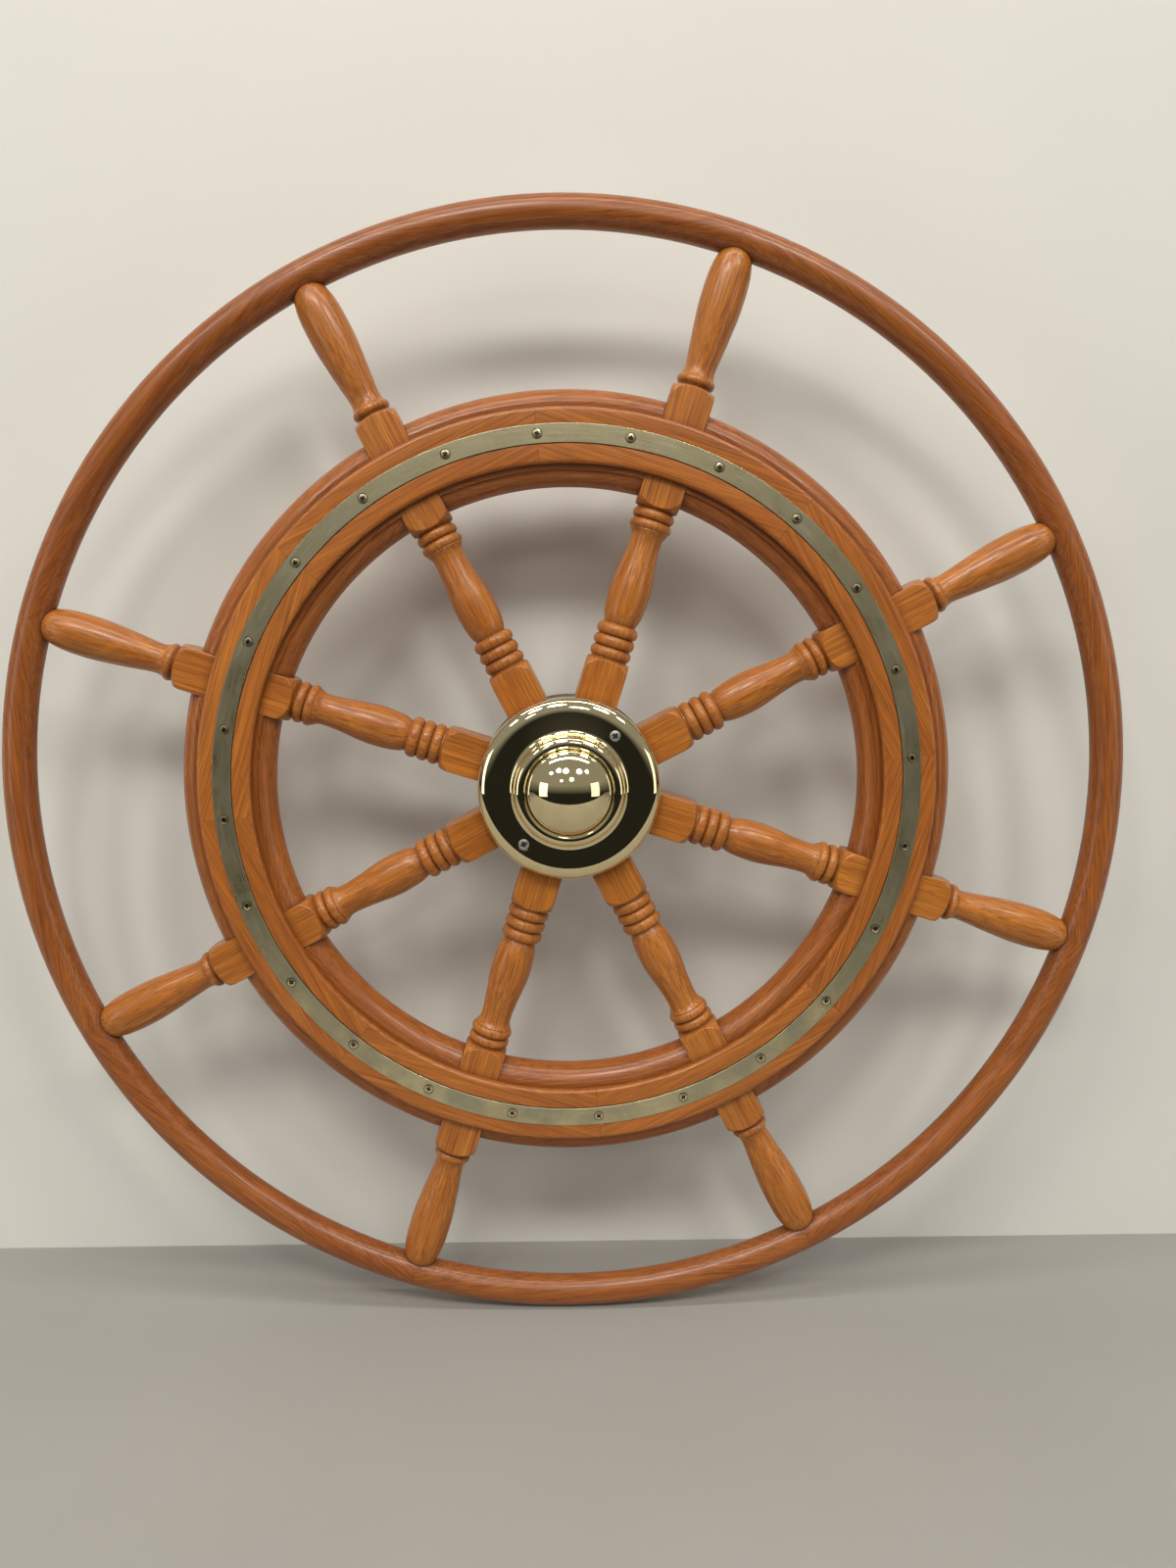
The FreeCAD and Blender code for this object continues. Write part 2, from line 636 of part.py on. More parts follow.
def make_ring_screws():
    body = new_body("ring_screws", gap_angle(0))
    body.AllowCompound = True
    middle = wheel["brass_ring_radius"]
    head, shank = wheel["ring_screw_head"], wheel["ring_screw_shank"]
    length = BRASS_FRONT - HALF_SQUARE
    sketch = axis_sketch(body, "screw_profile", middle)
    rise, sink = wheel["ring_screw_rise"], wheel["ring_screw_sink"]
    screw_path(middle, BRASS_FRONT, rise, head, shank, sink, length).draw(sketch)
    screw = turn(body, "Revolution", "screw", sketch, (sketch, ["Axis0"]))
    pattern_round_axis(body, screw, wheel["spoke_count"] * wheel["ring_screws_per_spoke"])


def make_hub_back_plate():
    """A casting: keyed barrel through the spokes, back flange, boss and two pillars."""
    body = new_body("hub_back_plate", spoke_angle(0))
    front = HALF_SQUARE + wheel["barrel_front"]
    back = FLANGE_BACK + wheel["boss_length"]
    edge, cove = wheel["flange_edge_round"], wheel["boss_cove"]
    quarter = 1 - math.sqrt(0.5)
    section = new_sketch(body, "XY_Plane", "casting_section")
    path = Path(wheel["bore_radius"], -front)
    path.line(wheel["barrel_radius"], -front)
    path.line(wheel["barrel_radius"], HALF_SQUARE)
    path.line(wheel["hub_radius"], HALF_SQUARE)
    path.line(wheel["hub_radius"], FLANGE_BACK - edge)
    path.arc(wheel["hub_radius"] - edge, FLANGE_BACK, -(edge * quarter))
    path.line(wheel["boss_radius"] + cove, FLANGE_BACK)
    path.arc(wheel["boss_radius"], FLANGE_BACK + cove, cove * quarter)
    path.line(wheel["boss_radius"], back)
    path.line(wheel["bore_radius"], back)
    path.draw(section)
    turn(body, "Revolution", "casting", section, (axis_of(body, "Y_Axis"), [""]))
    key = new_sketch(body, "XZ_Plane", "keyway_outline")
    half_key = wheel["key_width"] / 2
    path = Path(0, -half_key)
    path.line(wheel["bore_radius"] + wheel["key_depth"], -half_key)
    path.line(wheel["bore_radius"] + wheel["key_depth"], half_key)
    path.line(0, half_key)
    path.draw(key)
    extrude(body, "Pocket", "keyway", key)
    pillars = new_sketch(body, "XZ_Plane", "pillar_circles", -HALF_SQUARE)
    pillar_top = PLATE_FACE - wheel["plate_wall"]
    holes = new_sketch(body, "XZ_Plane", "pillar_hole_circles", pillar_top)
    for radius in (wheel["plate_screw_radius"], -wheel["plate_screw_radius"]):
        across, up = beside_spoke(HALF_PITCH, radius, as_size(0))
        draw_circle(pillars, across, up, wheel["pillar_radius"])
        draw_circle(holes, across, up, wheel["plate_screw_shank"] / 2)
    extrude(body, "Pad", "pillars", pillars, pillar_top + HALF_SQUARE)
    depth = wheel["plate_screw_length"] - wheel["plate_wall"]
    extrude(body, "Pocket", "pillar_holes", holes, depth)
    radius = wheel["spoke_screw_radius"]
    sketch = axis_sketch(body, "spoke_screw_profile", radius)
    head, shank = wheel["spoke_screw_head"], wheel["spoke_screw_shank"]
    path = Path(radius, FLANGE_BACK + BEYOND)
    path.line(radius + head / 2, FLANGE_BACK + BEYOND)
    path.line(radius + head / 2, FLANGE_BACK)
    path.line(radius + shank / 2, FLANGE_BACK - wheel["spoke_screw_sink"])
    path.line(radius + shank / 2, HALF_SQUARE - BEYOND)
    path.line(radius, HALF_SQUARE - BEYOND)
    path.draw(sketch)
    hole = turn(body, "Groove", "spoke_screw_hole", sketch, (sketch, ["Axis0"]))
    pattern_round_axis(body, hole, wheel["spoke_count"])


def make_hub_front_plate():
    """A hollow plate with a bull-nosed edge and a raised, coved collar for the cap."""
    body = new_body("hub_front_plate", gap_angle(0))
    outer, edge, wall = wheel["hub_radius"], wheel["plate_edge_round"], wheel["plate_wall"]
    collar, cove = wheel["collar_radius"], wheel["collar_cove"]
    quarter = 1 - math.sqrt(0.5)
    mouth = wheel["cap_radius"] + wheel["cap_gap"]
    top = PLATE_FACE + wheel["collar_height"]
    shoulder = PLATE_FACE + cove + wheel["collar_side"]
    lip = mouth + wheel["collar_lip"]
    spigot_hole = wheel["cap_radius"] - wheel["cap_lip"] + wheel["fit_gap"]
    section = new_sketch(body, "XY_Plane", "plate_section")
    path = Path(outer, -HALF_SQUARE)
    path.line(outer, -(PLATE_FACE - edge))
    path.arc(outer - edge, -PLATE_FACE, edge * quarter)
    path.line(collar + cove, -PLATE_FACE)
    path.arc(collar, -(PLATE_FACE + cove), -(cove * quarter))
    path.line(collar, -shoulder)
    path.arc(lip, -top, wheel["collar_round"])
    path.line(mouth, -(CAP_SEAT + wheel["cap_sink"] / 2))
    path.line(mouth, -CAP_SEAT)
    path.line(spigot_hole, -CAP_SEAT)
    path.line(spigot_hole, -(PLATE_FACE - wall))
    path.line(outer - edge, -(PLATE_FACE - wall))
    path.arc(outer - wall, -(PLATE_FACE - edge), -((edge - wall) * quarter))
    path.line(outer - wall, -HALF_SQUARE)
    path.draw(section)
    turn(body, "Revolution", "plate", section, (axis_of(body, "Y_Axis"), [""]))
    radius = wheel["plate_screw_radius"]
    sketch = axis_sketch(body, "plate_screw_profile", radius)
    head, shank = wheel["plate_screw_head"], wheel["plate_screw_shank"]
    sink = wheel["plate_screw_sink"]
    countersink_path(radius, PLATE_FACE, head, shank, sink, wall + BEYOND).draw(sketch)
    hole = turn(body, "Groove", "plate_screw_hole", sketch, (sketch, ["Axis0"]))
    pattern_round_axis(body, hole, as_size(2))


def make_plate_screws():
    body = new_body("plate_screws", gap_angle(0))
    body.AllowCompound = True
    radius = wheel["plate_screw_radius"]
    sketch = axis_sketch(body, "screw_profile", radius)
    head, shank = wheel["plate_screw_head"], wheel["plate_screw_shank"]
    rise, sink = wheel["plate_screw_rise"], wheel["plate_screw_sink"]
    screw_path(radius, PLATE_FACE, rise, head, shank, sink, wheel["plate_screw_length"]).draw(sketch)
    screw = turn(body, "Revolution", "screw", sketch, (sketch, ["Axis0"]))
    pattern_round_axis(body, screw, as_size(2))


def make_hub_cap():
    """A hollow dome over a small bead, with a spigot that fits the collar."""
    body = new_body("hub_cap")
    wall = wheel["dome_wall"]
    spigot = wheel["cap_radius"] - wheel["cap_lip"]
    foot = CAP_SEAT + wheel["cap_bead"]
    top = foot + wheel["dome_height"]
    section = new_sketch(body, "XY_Plane", "cap_section")
    path = Path(spigot - wall, -(CAP_SEAT - wheel["cap_spigot"]))
    path.line(spigot, -(CAP_SEAT - wheel["cap_spigot"]))
    path.line(spigot, -CAP_SEAT)
    path.line(wheel["cap_radius"], -CAP_SEAT)
    path.arc(spigot, -foot, wheel["cap_bead_round"])
    path.arc(0, -top, arc_rise_from_tangent(spigot, wheel["dome_height"]))
    path.line(0, -(top - wall))
    inner_rise = arc_rise_from_tangent(spigot - wall, wheel["dome_height"] - wall)
    path.arc(spigot - wall, -foot, -inner_rise)
    path.draw(section)
    turn(body, "Revolution", "cap", section, (axis_of(body, "Y_Axis"), [""]))


def make_spoke_screws():
    """Wood screws through the back flange, one into each spoke."""
    body = new_body("spoke_screws", spoke_angle(0))
    body.AllowCompound = True
    radius = wheel["spoke_screw_radius"]
    sketch = axis_sketch(body, "screw_profile", radius)
    head, shank = wheel["spoke_screw_head"], wheel["spoke_screw_shank"]
    tail = FLANGE_BACK - wheel["spoke_screw_length"]
    path = Path(radius, FLANGE_BACK)
    path.line(radius + head / 2, FLANGE_BACK)
    path.line(radius + shank / 2, FLANGE_BACK - wheel["spoke_screw_sink"])
    path.line(radius + shank / 2, tail)
    path.line(radius, tail)
    path.draw(sketch)
    screw = turn(body, "Revolution", "screw", sketch, (sketch, ["Axis0"]))
    pattern_round_axis(body, screw, wheel["spoke_count"])


def make_rim_dowels():
    """Dowels from each handle into the joint between two rim segments."""
    body = new_body("rim_dowels", spoke_angle(0))
    body.AllowCompound = True
    sketch = new_sketch(body, "YZ_Plane", "dowel_circle", TIP - wheel["dowel_in_handle"])
    draw_circle(sketch, 0, 0, wheel["dowel_radius"])
    dowel = extrude(body, "Pad", "dowel", sketch, wheel["dowel_in_handle"] + wheel["dowel_in_rim"])
    pattern_round_axis(body, dowel, wheel["spoke_count"])


for spoke in range(SPOKES):
    make_spoke(spoke)
    make_rim_segment(spoke)
    make_felloe(spoke)
    make_front_facing(spoke)
    make_back_facing(spoke)
make_brass_ring()
make_ring_screws()
make_hub_back_plate()
make_hub_front_plate()
make_plate_screws()
make_hub_cap()
make_spoke_screws()
make_rim_dowels()
doc.recompute()

for item in doc.Objects:
    if "Invalid" in item.State or "Error" in item.State:
        raise RuntimeError(f"{item.Label} did not compute: {item.State}")
for body in bodies:
    if body.Shape.isNull() or not body.Shape.isValid():
        raise RuntimeError(f"{body.Label} has no valid shape")

os.makedirs("parts", exist_ok=True)
for body in bodies:
    body.Shape.exportStep(os.path.join("parts", body.Label + ".step"))
    print(body.Label, "solids", len(body.Shape.Solids), "volume", round(body.Shape.Volume / 1000, 1), "cm3")
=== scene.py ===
# %% [markdown]
# A wooden steering wheel for a yacht, dressed for its picture.
# Eight turned spokes of varnished hardwood run from a polished brass hub, through
# a built-up wooden ring with an inlaid brass strip, to handles that carry a round
# outer rim. The solids were drawn first, with every piece in its own node. This
# lesson gives each piece its finish, and a finer mesh where the eye wants one.

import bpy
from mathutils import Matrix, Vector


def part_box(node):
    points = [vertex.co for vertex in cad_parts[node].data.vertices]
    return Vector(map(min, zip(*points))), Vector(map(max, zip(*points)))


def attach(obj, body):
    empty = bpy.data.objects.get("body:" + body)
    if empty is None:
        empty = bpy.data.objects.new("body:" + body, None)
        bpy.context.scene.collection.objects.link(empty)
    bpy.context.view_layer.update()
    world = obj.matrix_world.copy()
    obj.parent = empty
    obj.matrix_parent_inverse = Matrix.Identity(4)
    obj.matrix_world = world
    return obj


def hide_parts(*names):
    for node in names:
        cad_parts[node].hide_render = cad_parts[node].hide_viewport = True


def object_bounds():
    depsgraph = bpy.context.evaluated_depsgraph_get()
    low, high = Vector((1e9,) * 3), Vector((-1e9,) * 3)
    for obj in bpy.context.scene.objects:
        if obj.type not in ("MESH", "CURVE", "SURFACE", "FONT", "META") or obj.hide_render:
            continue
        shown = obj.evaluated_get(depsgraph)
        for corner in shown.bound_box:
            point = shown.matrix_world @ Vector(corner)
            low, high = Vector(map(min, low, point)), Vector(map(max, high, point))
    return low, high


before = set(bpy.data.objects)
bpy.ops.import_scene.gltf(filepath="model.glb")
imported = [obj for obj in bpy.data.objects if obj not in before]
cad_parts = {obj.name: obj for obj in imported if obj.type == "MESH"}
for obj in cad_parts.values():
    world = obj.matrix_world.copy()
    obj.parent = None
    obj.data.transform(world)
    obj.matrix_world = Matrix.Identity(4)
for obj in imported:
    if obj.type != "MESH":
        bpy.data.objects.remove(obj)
cad_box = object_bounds()
print("solids:", len(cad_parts), "box:", [tuple(round(c, 4) for c in corner) for corner in cad_box])

# %% [markdown]
# Every length below is in metres, because that is Blender's own unit, but wood and
# brass are measured in millimetres at the bench. Multiplying by MM keeps both true.
# The wheel faces -Y, its axis is Y, and Z is up.

# %% The modules and the units
import math
from collections import namedtuple

import bmesh
import bpy
import numpy as np
from mathutils import Matrix, Vector

MM = 0.001
SPOKES = 8
PITCH = math.radians(360 / SPOKES)
FIRST_SPOKE = math.radians(27.5)
print("one spoke every", round(math.degrees(PITCH)), "degrees, the first at", math.degrees(FIRST_SPOKE))

# %% [markdown]
# The main places can be read from the solids, so that a wheel drawn a little larger
# would still be dressed rightly. The box of a node gives its reach: the outer rim's
# boxes give the wheel's radius, and the depth of a facing gives the ring's front.

# %% Read the main sizes from the solids
def reach_of(node):
    """How far a node reaches from the wheel's axis."""
    low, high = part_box(node)
    return max(high.x, high.z, -low.x, -low.z)


RIM_OUTSIDE = max(reach_of(f"outer_rim_{n + 1}") for n in range(SPOKES))
RIM_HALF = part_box("outer_rim_1")[1].y
RIM_RADIUS = RIM_OUTSIDE - RIM_HALF
RING_FRONT = -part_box("front_facing_1")[0].y
RING_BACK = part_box("back_facing_1")[1].y
BRASS_FRONT = -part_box("brass_ring")[0].y
HALF_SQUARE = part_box("felloe_1")[1].y
HUB_RADIUS = reach_of("hub_front_plate")
COLLAR_FRONT = -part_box("hub_front_plate")[0].y
CAP_FRONT = -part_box("hub_cap")[0].y
CAP_RADIUS = reach_of("hub_cap")
print("rim", round(RIM_RADIUS, 4), "half thickness", round(RIM_HALF, 4), "hub", round(HUB_RADIUS, 4))

# %% [markdown]
# Nearly every piece here is a stack of rings: a turned spoke is a stack of sections
# along its axis, and a piece of the ring is one section swept through an angle. So
# one helper skins a stack of rings. Blender's screw modifier could do parts of this,
# but a mesh made from numbers can follow a spoke from square to round.

# %% A helper that skins a stack of rings
def skin(rings, joined=False):
    """Vertices and faces of a skin over rings with equal counts. Joined closes it end to end."""
    count = len(rings[0])
    points = [Vector(point) for ring in rings for point in ring]
    faces = []
    last = len(rings) if joined else len(rings) - 1
    for row in range(last):
        here = row * count
        there = (row + 1) % len(rings) * count
        for column in range(count):
            beside = (column + 1) % count
            faces.append((here + column, here + beside, there + beside, there + column))
    if not joined:
        faces.append(tuple(reversed(range(count))))
        faces.append(tuple(range(len(points) - count, len(points))))
    return points, faces


def lathe(outline, steps):
    """A closed outline of (radius, y) turned about the Y axis. Points on the axis become one vertex."""
    points, faces, rows = [], [], []
    for radius, place in outline:
        turns = 1 if radius < 1e-7 else steps
        rows.append([len(points) + step % turns for step in range(steps)])
        for step in range(turns):
            angle = 2 * math.pi * step / steps
            points.append(Vector((radius * math.cos(angle), place, radius * math.sin(angle))))
    for row, here in enumerate(rows):
        there = rows[(row + 1) % len(rows)]
        for step in range(steps):
            beside = (step + 1) % steps
            corners = []
            for corner in (here[step], here[beside], there[beside], there[step]):
                if corner not in corners:
                    corners.append(corner)
            if len(corners) > 2:
                faces.append(tuple(corners))
    return points, faces


print("helpers ready: skin, lathe")

# %% [markdown]
# An outline on paper is drawn with lines, arcs and free curves. An arc is given by
# its ends and its rise, which is how far it stands out from the straight line
# between them, as a turner would measure a bead. A free curve passes through a few
# chosen stations, as a batten bent round pins does.

# %% Helpers for arcs and free curves
def arc(start, end, rise, steps):
    """Points after start, up to end. A positive rise bulges to the left of the way there."""
    start, end = Vector(start), Vector(end)
    chord = end - start
    half = chord.length / 2
    radius = (half * half + rise * rise) / (2 * abs(rise))
    left = Vector((-chord.y, chord.x)).normalized()
    side = math.copysign(1, rise)
    centre = (start + end) / 2 + left * side * (abs(rise) - radius)
    sweep = -side * 4 * math.atan2(abs(rise), half)
    arm = start - centre
    points = []
    for step in range(1, steps + 1):
        turned = Matrix.Rotation(sweep * step / steps, 2) @ arm
        points.append(tuple(centre + turned))
    return points


def fair_curve(stations, spacing):
    """Points of a smooth curve through stations that run one way along the piece."""
    along = np.array([station[0] for station in stations])
    height = np.array([station[1] for station in stations])
    slope = np.gradient(height, along)
    places = np.linspace(along[0], along[-1], max(2, round((along[-1] - along[0]) / spacing) + 1))
    points = []
    for place in places:
        left = min(int(np.searchsorted(along, place, "right")) - 1, len(along) - 2)
        width = along[left + 1] - along[left]
        t = (place - along[left]) / width
        value = (2 * t**3 - 3 * t**2 + 1) * height[left] + (3 * t**2 - 2 * t**3) * height[left + 1]
        value += width * ((t**3 - 2 * t**2 + t) * slope[left] + (t**3 - t**2) * slope[left + 1])
        points.append((float(place), float(value)))
    return points


def rounded(corners, steps=4):
    """A closed outline of (x, y, radius) corners, with an arc of that radius in each corner."""
    points = []
    for index, (x, y, radius) in enumerate(corners):
        here = Vector((x, y))
        if radius == 0:
            points.append((x, y))
            continue
        before = Vector(corners[index - 1][:2]) - here
        after = Vector(corners[(index + 1) % len(corners)][:2]) - here
        reach = radius / math.tan(before.angle(after) / 2)
        start = here + before.normalized() * reach
        end = here + after.normalized() * reach
        bisector = (before.normalized() + after.normalized()).normalized()
        centre = here + bisector * math.hypot(radius, reach)
        for step in range(steps + 1):
            blend = start.lerp(end, step / steps) - centre
            points.append(tuple(centre + blend.normalized() * radius))
    return points


print("an arc of 10 with a rise of 2 has", len(arc((0, 0), (10, 0), 2, 6)), "points")

# %% [markdown]
# Each new piece rides with the wheel's one body, takes the place of its plain solid
# and carries its finish as its material. Edges sharper than thirty degrees stay crisp and
# all others are shaded smooth. Where a real edge has been eased with sandpaper, a
# narrow bevel catches the light, which flat corners never do.

# %% Helpers that make meshes, objects and pieces
CRISP = math.radians(30)


def make_mesh(name, points, faces):
    """A mesh whose faces all look outwards."""
    mesh = bpy.data.meshes.new(name)
    mesh.from_pydata(points, [], faces)
    draft = bmesh.new()
    draft.from_mesh(mesh)
    bmesh.ops.recalc_face_normals(draft, faces=draft.faces)
    draft.to_mesh(mesh)
    draft.free()
    return mesh


def add_object(name, data):
    """Puts a mesh, a lamp or a camera into the scene."""
    thing = bpy.data.objects.new(name, data)
    bpy.context.scene.collection.objects.link(thing)
    return thing


def make_piece(mesh, material, node, turned=0.0, eased=0.0):
    """A piece turned about the wheel's axis, standing for a node. Eased is the width of its bevels."""
    mesh.shade_smooth()
    mesh.set_sharp_from_angle(angle=CRISP)
    mesh.materials.clear()
    mesh.materials.append(material)
    piece = add_object(mesh.name, mesh)
    piece.matrix_world = Matrix.Rotation(turned, 4, "Y")
    if eased:
        bevel = piece.modifiers.new("eased_edges", "BEVEL")
        bevel.width = eased
        bevel.segments = 2
        bevel.limit_method = "ANGLE"
        bevel.angle_limit = math.radians(35)
        bevel.harden_normals = True
    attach(piece, "root")
    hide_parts(node)
    return piece


print("helpers ready: make_mesh, add_object, make_piece")

# %% [markdown]
# Holes, seats and recesses are cut with Booleans, as a drill or a gouge would cut
# them. A cutter is an object that lives only until the cut is made.

# %% Helpers for cutting
def make_cutter(shape, place=Matrix.Identity(4)):
    """A shape, given as points and faces, that is only there to be cut away."""
    cutter = add_object("cutter", make_mesh("cutter", *shape))
    cutter.matrix_world = place
    return cutter


def cut_away(piece, cutters):
    """Cuts the cutters' shapes out of a piece for good, and deletes them."""
    for cutter in cutters:
        step = piece.modifiers.new("cut", "BOOLEAN")
        step.operation = "DIFFERENCE"
        step.solver = "EXACT"
        step.object = cutter
    bpy.context.view_layer.update()
    shaped = bpy.data.meshes.new_from_object(piece.evaluated_get(bpy.context.evaluated_depsgraph_get()))
    piece.modifiers.clear()
    piece.data = shaped
    shaped.set_sharp_from_angle(angle=CRISP)
    for cutter in cutters:
        bpy.data.objects.remove(cutter)


def spoke_angle(number):
    return FIRST_SPOKE + PITCH * number


def gap_angle(number):
    return spoke_angle(number) + PITCH / 2


print("spokes at", [round(math.degrees(spoke_angle(n)), 1) for n in range(SPOKES)])

# %% [markdown]
# Small helpers keep the node graphs readable. Each makes one node, sets its values
# and links its inputs, so a material reads from top to bottom like a recipe.

# %% Helpers for building materials
def new_material(name):
    """A material, its node tree, its Principled shader, and the place of a point on the piece."""
    material = bpy.data.materials.new(name)
    material.use_nodes = True
    tree = material.node_tree
    place = add_node(tree, "ShaderNodeTexCoord").outputs["Object"]
    return material, tree, tree.nodes["Principled BSDF"], place


def add_node(tree, kind, settings=None, **inputs):
    """Adds a node. Settings are its properties, and inputs are values or outputs to link."""
    node = tree.nodes.new(kind)
    for key, value in (settings or {}).items():
        setattr(node, key, value)
    for key, value in inputs.items():
        socket = node.inputs[int(key[1:])] if key[0] == "i" and key[1:].isdigit() else node.inputs[key]
        if isinstance(value, bpy.types.NodeSocket):
            tree.links.new(value, socket)
        else:
            socket.default_value = value
    return node


def scaled(tree, vector, factors):
    node = add_node(tree, "ShaderNodeVectorMath", {"operation": "MULTIPLY"}, i0=vector, i1=factors)
    return node.outputs[0]


def added(tree, vector, other):
    node = add_node(tree, "ShaderNodeVectorMath", {"operation": "ADD"}, i0=vector, i1=other)
    return node.outputs[0]


def calculate(tree, operation, first, second=0.0, third=0.0):
    node = add_node(tree, "ShaderNodeMath", {"operation": operation}, i0=first, i1=second, i2=third)
    return node.outputs[0]


def noise(tree, vector, scale, detail=2.0, rough=0.5):
    node = add_node(tree, "ShaderNodeTexNoise", Vector=vector, Scale=scale, Detail=detail, Roughness=rough)
    return node.outputs["Fac"]


def stretch(tree, value, low, high, to_low=0.0, to_high=1.0):
    """Maps a value from one range to another, and clamps it there."""
    node = add_node(tree, "ShaderNodeMapRange", i0=value, i1=low, i2=high, i3=to_low, i4=to_high)
    return node.outputs[0]


def mixed(tree, factor, first, second, blend="MIX"):
    """Mixes two colours."""
    node = add_node(tree, "ShaderNodeMix", {"data_type": "RGBA", "blend_type": blend}, i0=factor)
    for socket, value in ((node.inputs[6], first), (node.inputs[7], second)):
        if isinstance(value, bpy.types.NodeSocket):
            tree.links.new(value, socket)
        else:
            socket.default_value = (*value, 1.0)
    return node.outputs[2]


def crease_shade_mask(tree, reach, low, high, alone=False):
    """One in a crease narrower than reach, nought in the open, as a mask for painted shade. Alone heeds
    only the piece itself.
    """
    settings = {"samples": 8 if alone else 2, "only_local": alone}
    open_sky = add_node(tree, "ShaderNodeAmbientOcclusion", settings, Distance=reach).outputs["AO"]
    return stretch(tree, open_sky, low, high, 1.0, 0.0)


def bumped(tree, shader, height, distance, strength):
    """Small rises and hollows, no higher than distance."""
    node = add_node(tree, "ShaderNodeBump", Height=height, Distance=distance, Strength=strength)
    tree.links.new(node.outputs["Normal"], shader.inputs["Normal"])


def darker(colour, share):
    return tuple(share * channel for channel in colour)


print("material helpers ready")

# %% [markdown]
# The wood is a straight-grained, orange-brown hardwood under several coats of
# varnish. A flat picture of a board would stretch round the pieces and show its
# seams. A solid texture is grain in three dimensions: the piece is cut out of it, so
# end grain, flats and turned swellings each show their proper figure. Each piece is
# cut from another part of the log, because Object Info gives it its own number.

# %% Where a piece lies in its log
HEART_AWAY = 0.5
HEART_SPREAD = 0.16
WAVE_AT_SCALE_ONE = 0.314


def cut_from_log(tree, place, middle):
    """A point's place from the heart of the piece's log, and the piece's own number."""
    lot = add_node(tree, "ShaderNodeObjectInfo").outputs["Random"]
    turn = calculate(tree, "MULTIPLY", lot, 43.0)
    heart = add_node(
        tree,
        "ShaderNodeCombineXYZ",
        X=calculate(tree, "MULTIPLY", lot, 9.0),
        Y=calculate(tree, "MULTIPLY", calculate(tree, "SINE", turn), HEART_SPREAD),
        Z=calculate(tree, "MULTIPLY_ADD", calculate(tree, "COSINE", turn), HEART_SPREAD, HEART_AWAY),
    ).outputs[0]
    return added(tree, added(tree, place, (0.0, 0.0, -middle)), heart), lot


def grain(tree, own, along, across, detail=2.0, rough=0.5):
    """Noise drawn out along the grain. Along and across say how fine it is, to the metre."""
    return noise(tree, scaled(tree, own, (along, across, across)), 1.0, detail, rough)


def growth_layers(tree, own, layer_gap):
    """How far through its growth layer a point lies. The layers waver and fade."""
    wide = scaled(tree, own, (3.0, 17.0, 17.0))
    drift = add_node(tree, "ShaderNodeTexNoise", Vector=wide, Scale=1.0, Detail=2.0).outputs["Color"]
    sway = scaled(tree, added(tree, drift, (-0.5, -0.5, -0.5)), (0.0, 0.014, 0.014))
    layers = add_node(
        tree,
        "ShaderNodeTexWave",
        {"wave_type": "RINGS", "rings_direction": "X", "wave_profile": "SAW"},
        Vector=scaled(tree, added(tree, own, sway), (0.02, 1.0, 1.0)),
        Scale=WAVE_AT_SCALE_ONE / layer_gap,
        Distortion=2.2,
        Detail=2.0,
    ).outputs["Fac"]
    uneven = grain(tree, own, 2.0, 60.0)
    return calculate(tree, "MULTIPLY", layers, stretch(tree, uneven, 0.35, 0.7, 0.15, 1.0))


print("each log's heart lies about", HEART_AWAY, "m away")

# %% [markdown]
# The colour is laid on from the broad to the fine: bands, growth layers, fibres, long
# streaks and pores. Each board is a little redder or paler than the next, and the
# creases carry painted shade. The coat is thin, so the lamps show as soft streaks.

# %% The varnished wood
PORE_BROWN = (0.090, 0.024, 0.006)
# The deep brown of the painted shade in creases.
CREASE_SHADE_BROWN = (0.085, 0.022, 0.005)
REDDER = (0.80, 0.68, 0.60)


def wood(name, pale, deep, middle, layer_gap, streaks):
    """Wood with its grain along X. Middle is how far the piece lies from the wheel's axis."""
    material, tree, shader, place = new_material(name)
    own, lot = cut_from_log(tree, place, middle)
    fibres = grain(tree, own, 14.0, 560.0, 4.0, 0.62)
    bands = grain(tree, own, 3.5, 90.0, 3.0, 0.55)
    pores = grain(tree, own, 45.0, 1300.0)
    long_streaks = grain(tree, own, 5.0, 430.0)

    tone = mixed(tree, stretch(tree, bands, 0.3, 0.72), pale, deep)
    layers = calculate(tree, "MULTIPLY", growth_layers(tree, own, layer_gap), 0.30)
    tone = mixed(tree, layers, tone, darker(deep, 0.5))
    tone = mixed(tree, stretch(tree, fibres, 0.40, 0.70, 0.0, 0.8), tone, darker(deep, 0.42))
    tone = mixed(tree, stretch(tree, long_streaks, 0.52, 0.74, 0.0, streaks), tone, darker(deep, 0.4))
    tone = mixed(tree, stretch(tree, pores, 0.56, 0.72, 0.0, 0.45), tone, PORE_BROWN)
    board = calculate(tree, "FRACT", calculate(tree, "MULTIPLY", lot, 7.0))
    redder = mixed(tree, 1.0, tone, REDDER, "MULTIPLY")
    tone = mixed(tree, stretch(tree, board, 0.0, 1.0, 0.0, 0.35), tone, redder)
    # Painted shade: ambient occlusion darkens the creases and quirks towards a deep brown.
    painted_crease_shade = calculate(tree, "MULTIPLY", crease_shade_mask(tree, 9 * MM, 0.25, 0.85), 0.75)
    tone = mixed(tree, painted_crease_shade, tone, CREASE_SHADE_BROWN)

    tree.links.new(tone, shader.inputs["Base Color"])
    tree.links.new(stretch(tree, fibres, 0.3, 0.8, 0.34, 0.50), shader.inputs["Roughness"])
    shader.inputs["Specular IOR Level"].default_value = 0.38
    shader.inputs["Coat Weight"].default_value = 0.35
    shader.inputs["Coat Roughness"].default_value = 0.2
    bumped(tree, shader, long_streaks, 0.03 * MM, 0.3)
    return material


